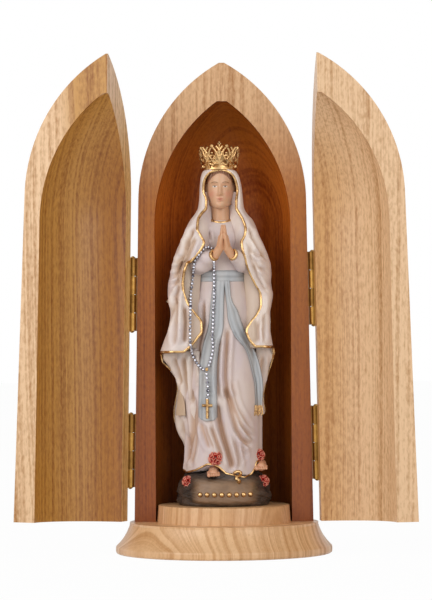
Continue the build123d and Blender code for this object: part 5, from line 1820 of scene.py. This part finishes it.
class NICHE_OT_crown(bpy.types.Operator):
    """Build the open gilt crown"""

    bl_idname = "niche.crown"
    bl_label = "Crown"

    def execute(self, context):
        routes = []
        places = {name: [] for name in CROWN_BALLS}
        for k in range(CROWN_POINTS):
            a = 2 * math.pi * k / CROWN_POINTS
            routes += self.scrolls(a)
            places["crown_tips"].append(on_wall(a + CROWN_GAP, 145.4))
            places["crown_studs"] += [on_wall(a, 143.8, 0.25), on_wall(a, 141.6, 0.4)]
            places["crown_gems"].append(on_wall(a + CROWN_GAP, 138.0, 0.35))
        ring = joined("crown_ring", [self.band(), self.plate(), self.cross()])
        seat(ring, finishes()["gilt"], "gilt_metal", "crown")
        gilt_tube("crown_scrolls", routes)
        for name, spots in places.items():
            self.balls(name, spots)
        return {"FINISHED"}

    def band(self):
        """The moulded band round the brow."""
        turn = full_turn(120)
        rings = np.array([[on_band(a, z, r) for a in turn] for r, z in CROWN_BAND + CROWN_BAND[:1]])
        return new_object("band", rings.reshape(-1, 3), ring_faces(len(rings), len(turn), True))

    def scrolls(self, a):
        """Routes of the wires that stand at one point of the crown."""
        routes = []
        for side in (-1, 1):
            share = np.linspace(0, 1, 14)
            swing = side * CROWN_GAP * (share + 0.16 * np.sin(2 * math.pi * share))
            routes.append([on_wall(a + s, 139.7 + 5.5 * t) for s, t in zip(swing, share)])
            curl = np.linspace(0, 1, 10)
            routes.append([on_wall(a + side * 0.16 * math.sin(3.0 * c), 139.8 + 3.4 * c) for c in curl])
            rise = np.linspace(0, 1, 12)
            routes.append([on_wall(a + side * (0.53 * c - 0.36), 140.2 + 5.2 * c, 0.2) for c in rise])
            bow = [(0.2 + 0.12 * math.cos(b), 0.75 * math.sin(b)) for b in np.linspace(-0.5, 2.6, 10)]
            routes.append([on_wall(a + side * turn, 137.9 + up, 0.25) for turn, up in bow])
        leaf = np.linspace(0, 1, 8)
        for lean in (-0.5, 0.0, 0.5):
            tall = 4.2 - abs(lean)
            routes.append([on_wall(a + lean * 0.34 * c, 139.6 + tall * c, 0.3) for c in leaf])
        arch = np.linspace(-1, 1, 9)
        routes.append([on_wall(a + CROWN_GAP * c, 141.2 + 0.7 * c * c, 0.1) for c in arch])
        return routes

    def balls(self, name, places):
        """Gilt balls at places."""
        made = bmesh.new()
        bmesh.ops.create_uvsphere(made, u_segments=16, v_segments=10, radius=CROWN_BALLS[name])
        ball = bpy.data.meshes.new(name)
        made.to_mesh(ball)
        made.free()
        holder = shown(name + "_one", ball)
        count = len(places)
        source = spot_mesh(name, figure_place(places), [(0.0, 0.0, 0.0)] * count, [MM] * count)
        gilt = finishes()["gilt"]
        seat(grown(name, source, "repeat", {"Piece": holder, "Material": gilt}), gilt, "gilt_metal")
        bpy.data.objects.remove(holder)

    def plate(self):
        """The stepped front plate."""
        left = [(-x, z) for x, z in reversed(PLATE_HALF)]
        outline = left[-1:] + PLATE_HALF + left[:-1]
        front = [on_wall(x / 7.0, z, 0.75) for x, z in outline]
        back = [on_wall(x / 7.0, z, 0.05) for x, z in outline]
        count = len(outline)
        faces = [tuple(range(count)), tuple(range(2 * count - 1, count - 1, -1))]
        faces += [(i, i + count, (i + 1) % count + count, (i + 1) % count) for i in range(count)]
        return new_object("plate", front + back, faces)

    def cross(self):
        """The small cross over the front."""
        x, y = CROWN_AXIS[0], CROWN_AXIS[1] - CROSS_AHEAD
        signs = [(i, j, k) for k in (-1, 1) for j in (-1, 1) for i in (-1, 1)]
        quads = ((0, 2, 3, 1), (4, 5, 7, 6), (0, 1, 5, 4), (2, 6, 7, 3), (0, 4, 6, 2), (1, 3, 7, 5))
        points, faces = [], []
        for height, wide, deep, tall in CROSS_BARS:
            faces += [tuple(len(points) + q for q in quad) for quad in quads]
            points += [(x + i * wide, y + j * deep, height + k * tall) for i, j, k in signs]
        return new_object("cross_top", points, faces)


class NICHE_OT_beads(bpy.types.Operator):
    """String the bead chain with its gilt cross"""

    bl_idname = "niche.beads"
    bl_label = "Bead chain"

    def execute(self, context):
        front = surface_finder(PIECES["gown"], PIECES["mantle"], PIECES["sash"])
        look = finishes()["beads"]
        routes = [self.laid(points, front) for points in (BEADS_LEFT, BEADS_RIGHT)]
        sizes = context.scene.niche_sizes
        settings = {"Radius": sizes.bead_radius, "Pitch": sizes.bead_pitch, "Material": look}
        loop = grown("bead_loop", chain_mesh("bead_loop", routes), "beads", settings)
        seat(loop, look, "bead_silver", "rosary_loop")
        pendant = chain_mesh("bead_pendant", [self.laid(BEADS_PENDANT, front)])
        seat(grown("bead_pendant", pendant, "beads", settings), look, "bead_silver", "rosary_pendant")
        x, z = BEAD_CROSS
        y = front(x, 40.0) - 0.7
        upright = [(x, y, 43.6), (x, y, 35.6)]
        arms = [(x - BEAD_CROSS_REACH, y - 0.1, z), (x + BEAD_CROSS_REACH, y - 0.1, z)]
        cross = gilt_tube("bead_cross", [upright, arms])
        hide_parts("rosary_cross")
        x, z = BEAD_HEART
        y = front(x, z - 0.1) - 0.9
        gilt_tube("bead_heart", [[(x - 0.5, y, z), (x + 0.5, y, z)]])
        return {"FINISHED"}

    def laid(self, points, front):
        """A route in the front view, laid on what is behind it."""
        flat = smooth_route(points, 120)
        depth = np.array([front(x, z, OPEN_DEPTH) for x, z in flat])
        bridge(depth, 8)
        return np.column_stack([flat[:, 0], depth - BEAD_LIFT, flat[:, 1]])


# Stage, in metres: the lamps' places, sizes and watts, what they aim at, the floor, the camera's fit
LAMPS = {"key_lamp": ((-0.95, -0.9, 0.66), 1.0, 9.7), "fill_lamp": ((0.7, -1.25, 0.55), 0.9, 6.4)}
LAMP_AIM = (0.0, -0.01, 0.1)
WORLD_STRENGTH = 0.3
FLOOR_REACH = 4.0
FLOOR_WHITE_SHARE = 0.97
CAMERA_PLACE = (-0.00278, -1.176, 0.0904)
CAMERA_TILT = 0.0111
CAMERA_ROLL = -0.0057
CAMERA_LENS = 172.1


class NICHE_OT_stage(bpy.types.Operator):
    """Set the white floor, the soft lamps and the camera"""

    bl_idname = "niche.stage"
    bl_label = "Stage"

    def execute(self, context):
        scene = context.scene
        scene.view_settings.view_transform = "Standard"
        self.backdrop()
        self.world(scene)
        for name, (place, size, watts) in LAMPS.items():
            self.lamp(name, place, size, watts)
        self.camera(scene)
        return {"FINISHED"}

    def backdrop(self):
        """Wide white floor, as white as the surroundings that are seen behind it."""
        mesh = bpy.data.meshes.new("floor")
        corners = [(i * FLOOR_REACH, j * FLOOR_REACH, 0) for i, j in ((-1, -1), (1, -1), (1, 1), (-1, 1))]
        mesh.from_pydata(corners, [], [(0, 1, 2, 3)])
        floor = shown("floor", mesh)
        material, t, shader = new_material("floor_paper")
        shader.inputs["Base Color"].default_value = (0.9, 0.9, 0.9, 1.0)
        shader.inputs["Roughness"].default_value = 0.9
        white = node(t, "ShaderNodeEmission", Color=(1.0, 1.0, 1.0, 1.0), Strength=1.0)
        share = maths(t, "MULTIPLY", self.plain_view(t), FLOOR_WHITE_SHARE)
        blend = node(t, "ShaderNodeMixShader", Fac=share)
        t.links.new(shader.outputs[0], blend.inputs[1])
        t.links.new(white.outputs[0], blend.inputs[2])
        t.links.new(blend.outputs[0], t.nodes["Material Output"].inputs[0])
        paint(floor, material)

    def plain_view(self, tree):
        """One for rays from the camera, straight or by way of metal or glass."""
        path = tree.nodes.new("ShaderNodeLightPath")
        seen = maths(tree, "MAXIMUM", path.outputs["Is Camera Ray"], path.outputs["Is Glossy Ray"])
        return maths(tree, "MAXIMUM", seen, path.outputs["Is Transmission Ray"])

    def world(self, scene):
        """Pale surroundings that light softly and look white."""
        world = bpy.data.worlds.new("studio")
        world.use_nodes = True
        t = world.node_tree
        t.nodes.clear()
        soft = node(t, "ShaderNodeBackground", Color=(1.0, 0.98, 0.95, 1.0), Strength=WORLD_STRENGTH)
        seen = node(t, "ShaderNodeBackground", Color=(1.0, 1.0, 1.0, 1.0), Strength=1.0)
        blend = node(t, "ShaderNodeMixShader", Fac=self.plain_view(t))
        t.links.new(soft.outputs[0], blend.inputs[1])
        t.links.new(seen.outputs[0], blend.inputs[2])
        out = t.nodes.new("ShaderNodeOutputWorld")
        t.links.new(blend.outputs[0], out.inputs[0])
        scene.world = world

    def lamp(self, name, place, size, watts):
        """A square soft lamp aimed at the middle of the niche."""
        light = bpy.data.lights.new(name, "AREA")
        light.size = size
        light.energy = watts
        obj = shown(name, light)
        obj.location = place
        aim = Vector(LAMP_AIM) - Vector(place)
        obj.rotation_euler = aim.to_track_quat("-Z", "Y").to_euler()

    def camera(self, scene):
        """Long lens level with the figure, as in the photograph."""
        data = bpy.data.cameras.new("camera")
        data.sensor_fit = "VERTICAL"
        data.sensor_height = 36.0
        data.lens = CAMERA_LENS
        data.clip_end = 20.0
        obj = shown("camera", data)
        turn = Matrix.Rotation(math.pi / 2 + CAMERA_TILT, 4, "X") @ Matrix.Rotation(CAMERA_ROLL, 4, "Z")
        obj.matrix_world = Matrix.Translation(CAMERA_PLACE) @ turn
        scene.camera = obj


class NICHE_PT_dresser(bpy.types.Panel):
    """Lists the steps that dress the niche"""

    bl_idname = "NICHE_PT_dresser"
    bl_label = "Folding niche"
    bl_space_type = "VIEW_3D"
    bl_region_type = "UI"
    bl_category = "Niche"

    def draw(self, context):
        column = self.layout.column(align=True)
        for operator in STEPS:
            column.operator(operator.bl_idname)
        for group in (context.scene.niche_sizes, context.scene.niche_colours):
            for key in group.bl_rna.properties.keys():
                if key not in {"rna_type", "name"}:
                    column.prop(group, key)


STEPS = (
    NICHE_OT_wood, NICHE_OT_hinges, NICHE_OT_rock, NICHE_OT_gown, NICHE_OT_mantle, NICHE_OT_head,
    NICHE_OT_hands, NICHE_OT_sash, NICHE_OT_roses, NICHE_OT_crown, NICHE_OT_beads, NICHE_OT_stage,
)
CLASSES = (NicheSizes, NicheColours, *STEPS, NICHE_PT_dresser)


def register():
    """Registers the classes and the settings."""
    for cls in CLASSES:
        bpy.utils.register_class(cls)
    bpy.types.Scene.niche_sizes = bpy.props.PointerProperty(type=NicheSizes)
    bpy.types.Scene.niche_colours = bpy.props.PointerProperty(type=NicheColours)


def unregister():
    """Removes the settings and the classes."""
    del bpy.types.Scene.niche_colours
    del bpy.types.Scene.niche_sizes
    for cls in reversed(CLASSES):
        bpy.utils.unregister_class(cls)


def main():
    """Registers the add-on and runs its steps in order."""
    register()
    for operator in STEPS:
        space, call = operator.bl_idname.split(".")
        getattr(getattr(bpy.ops, space), call)()


if __name__ == "__main__":
    main()
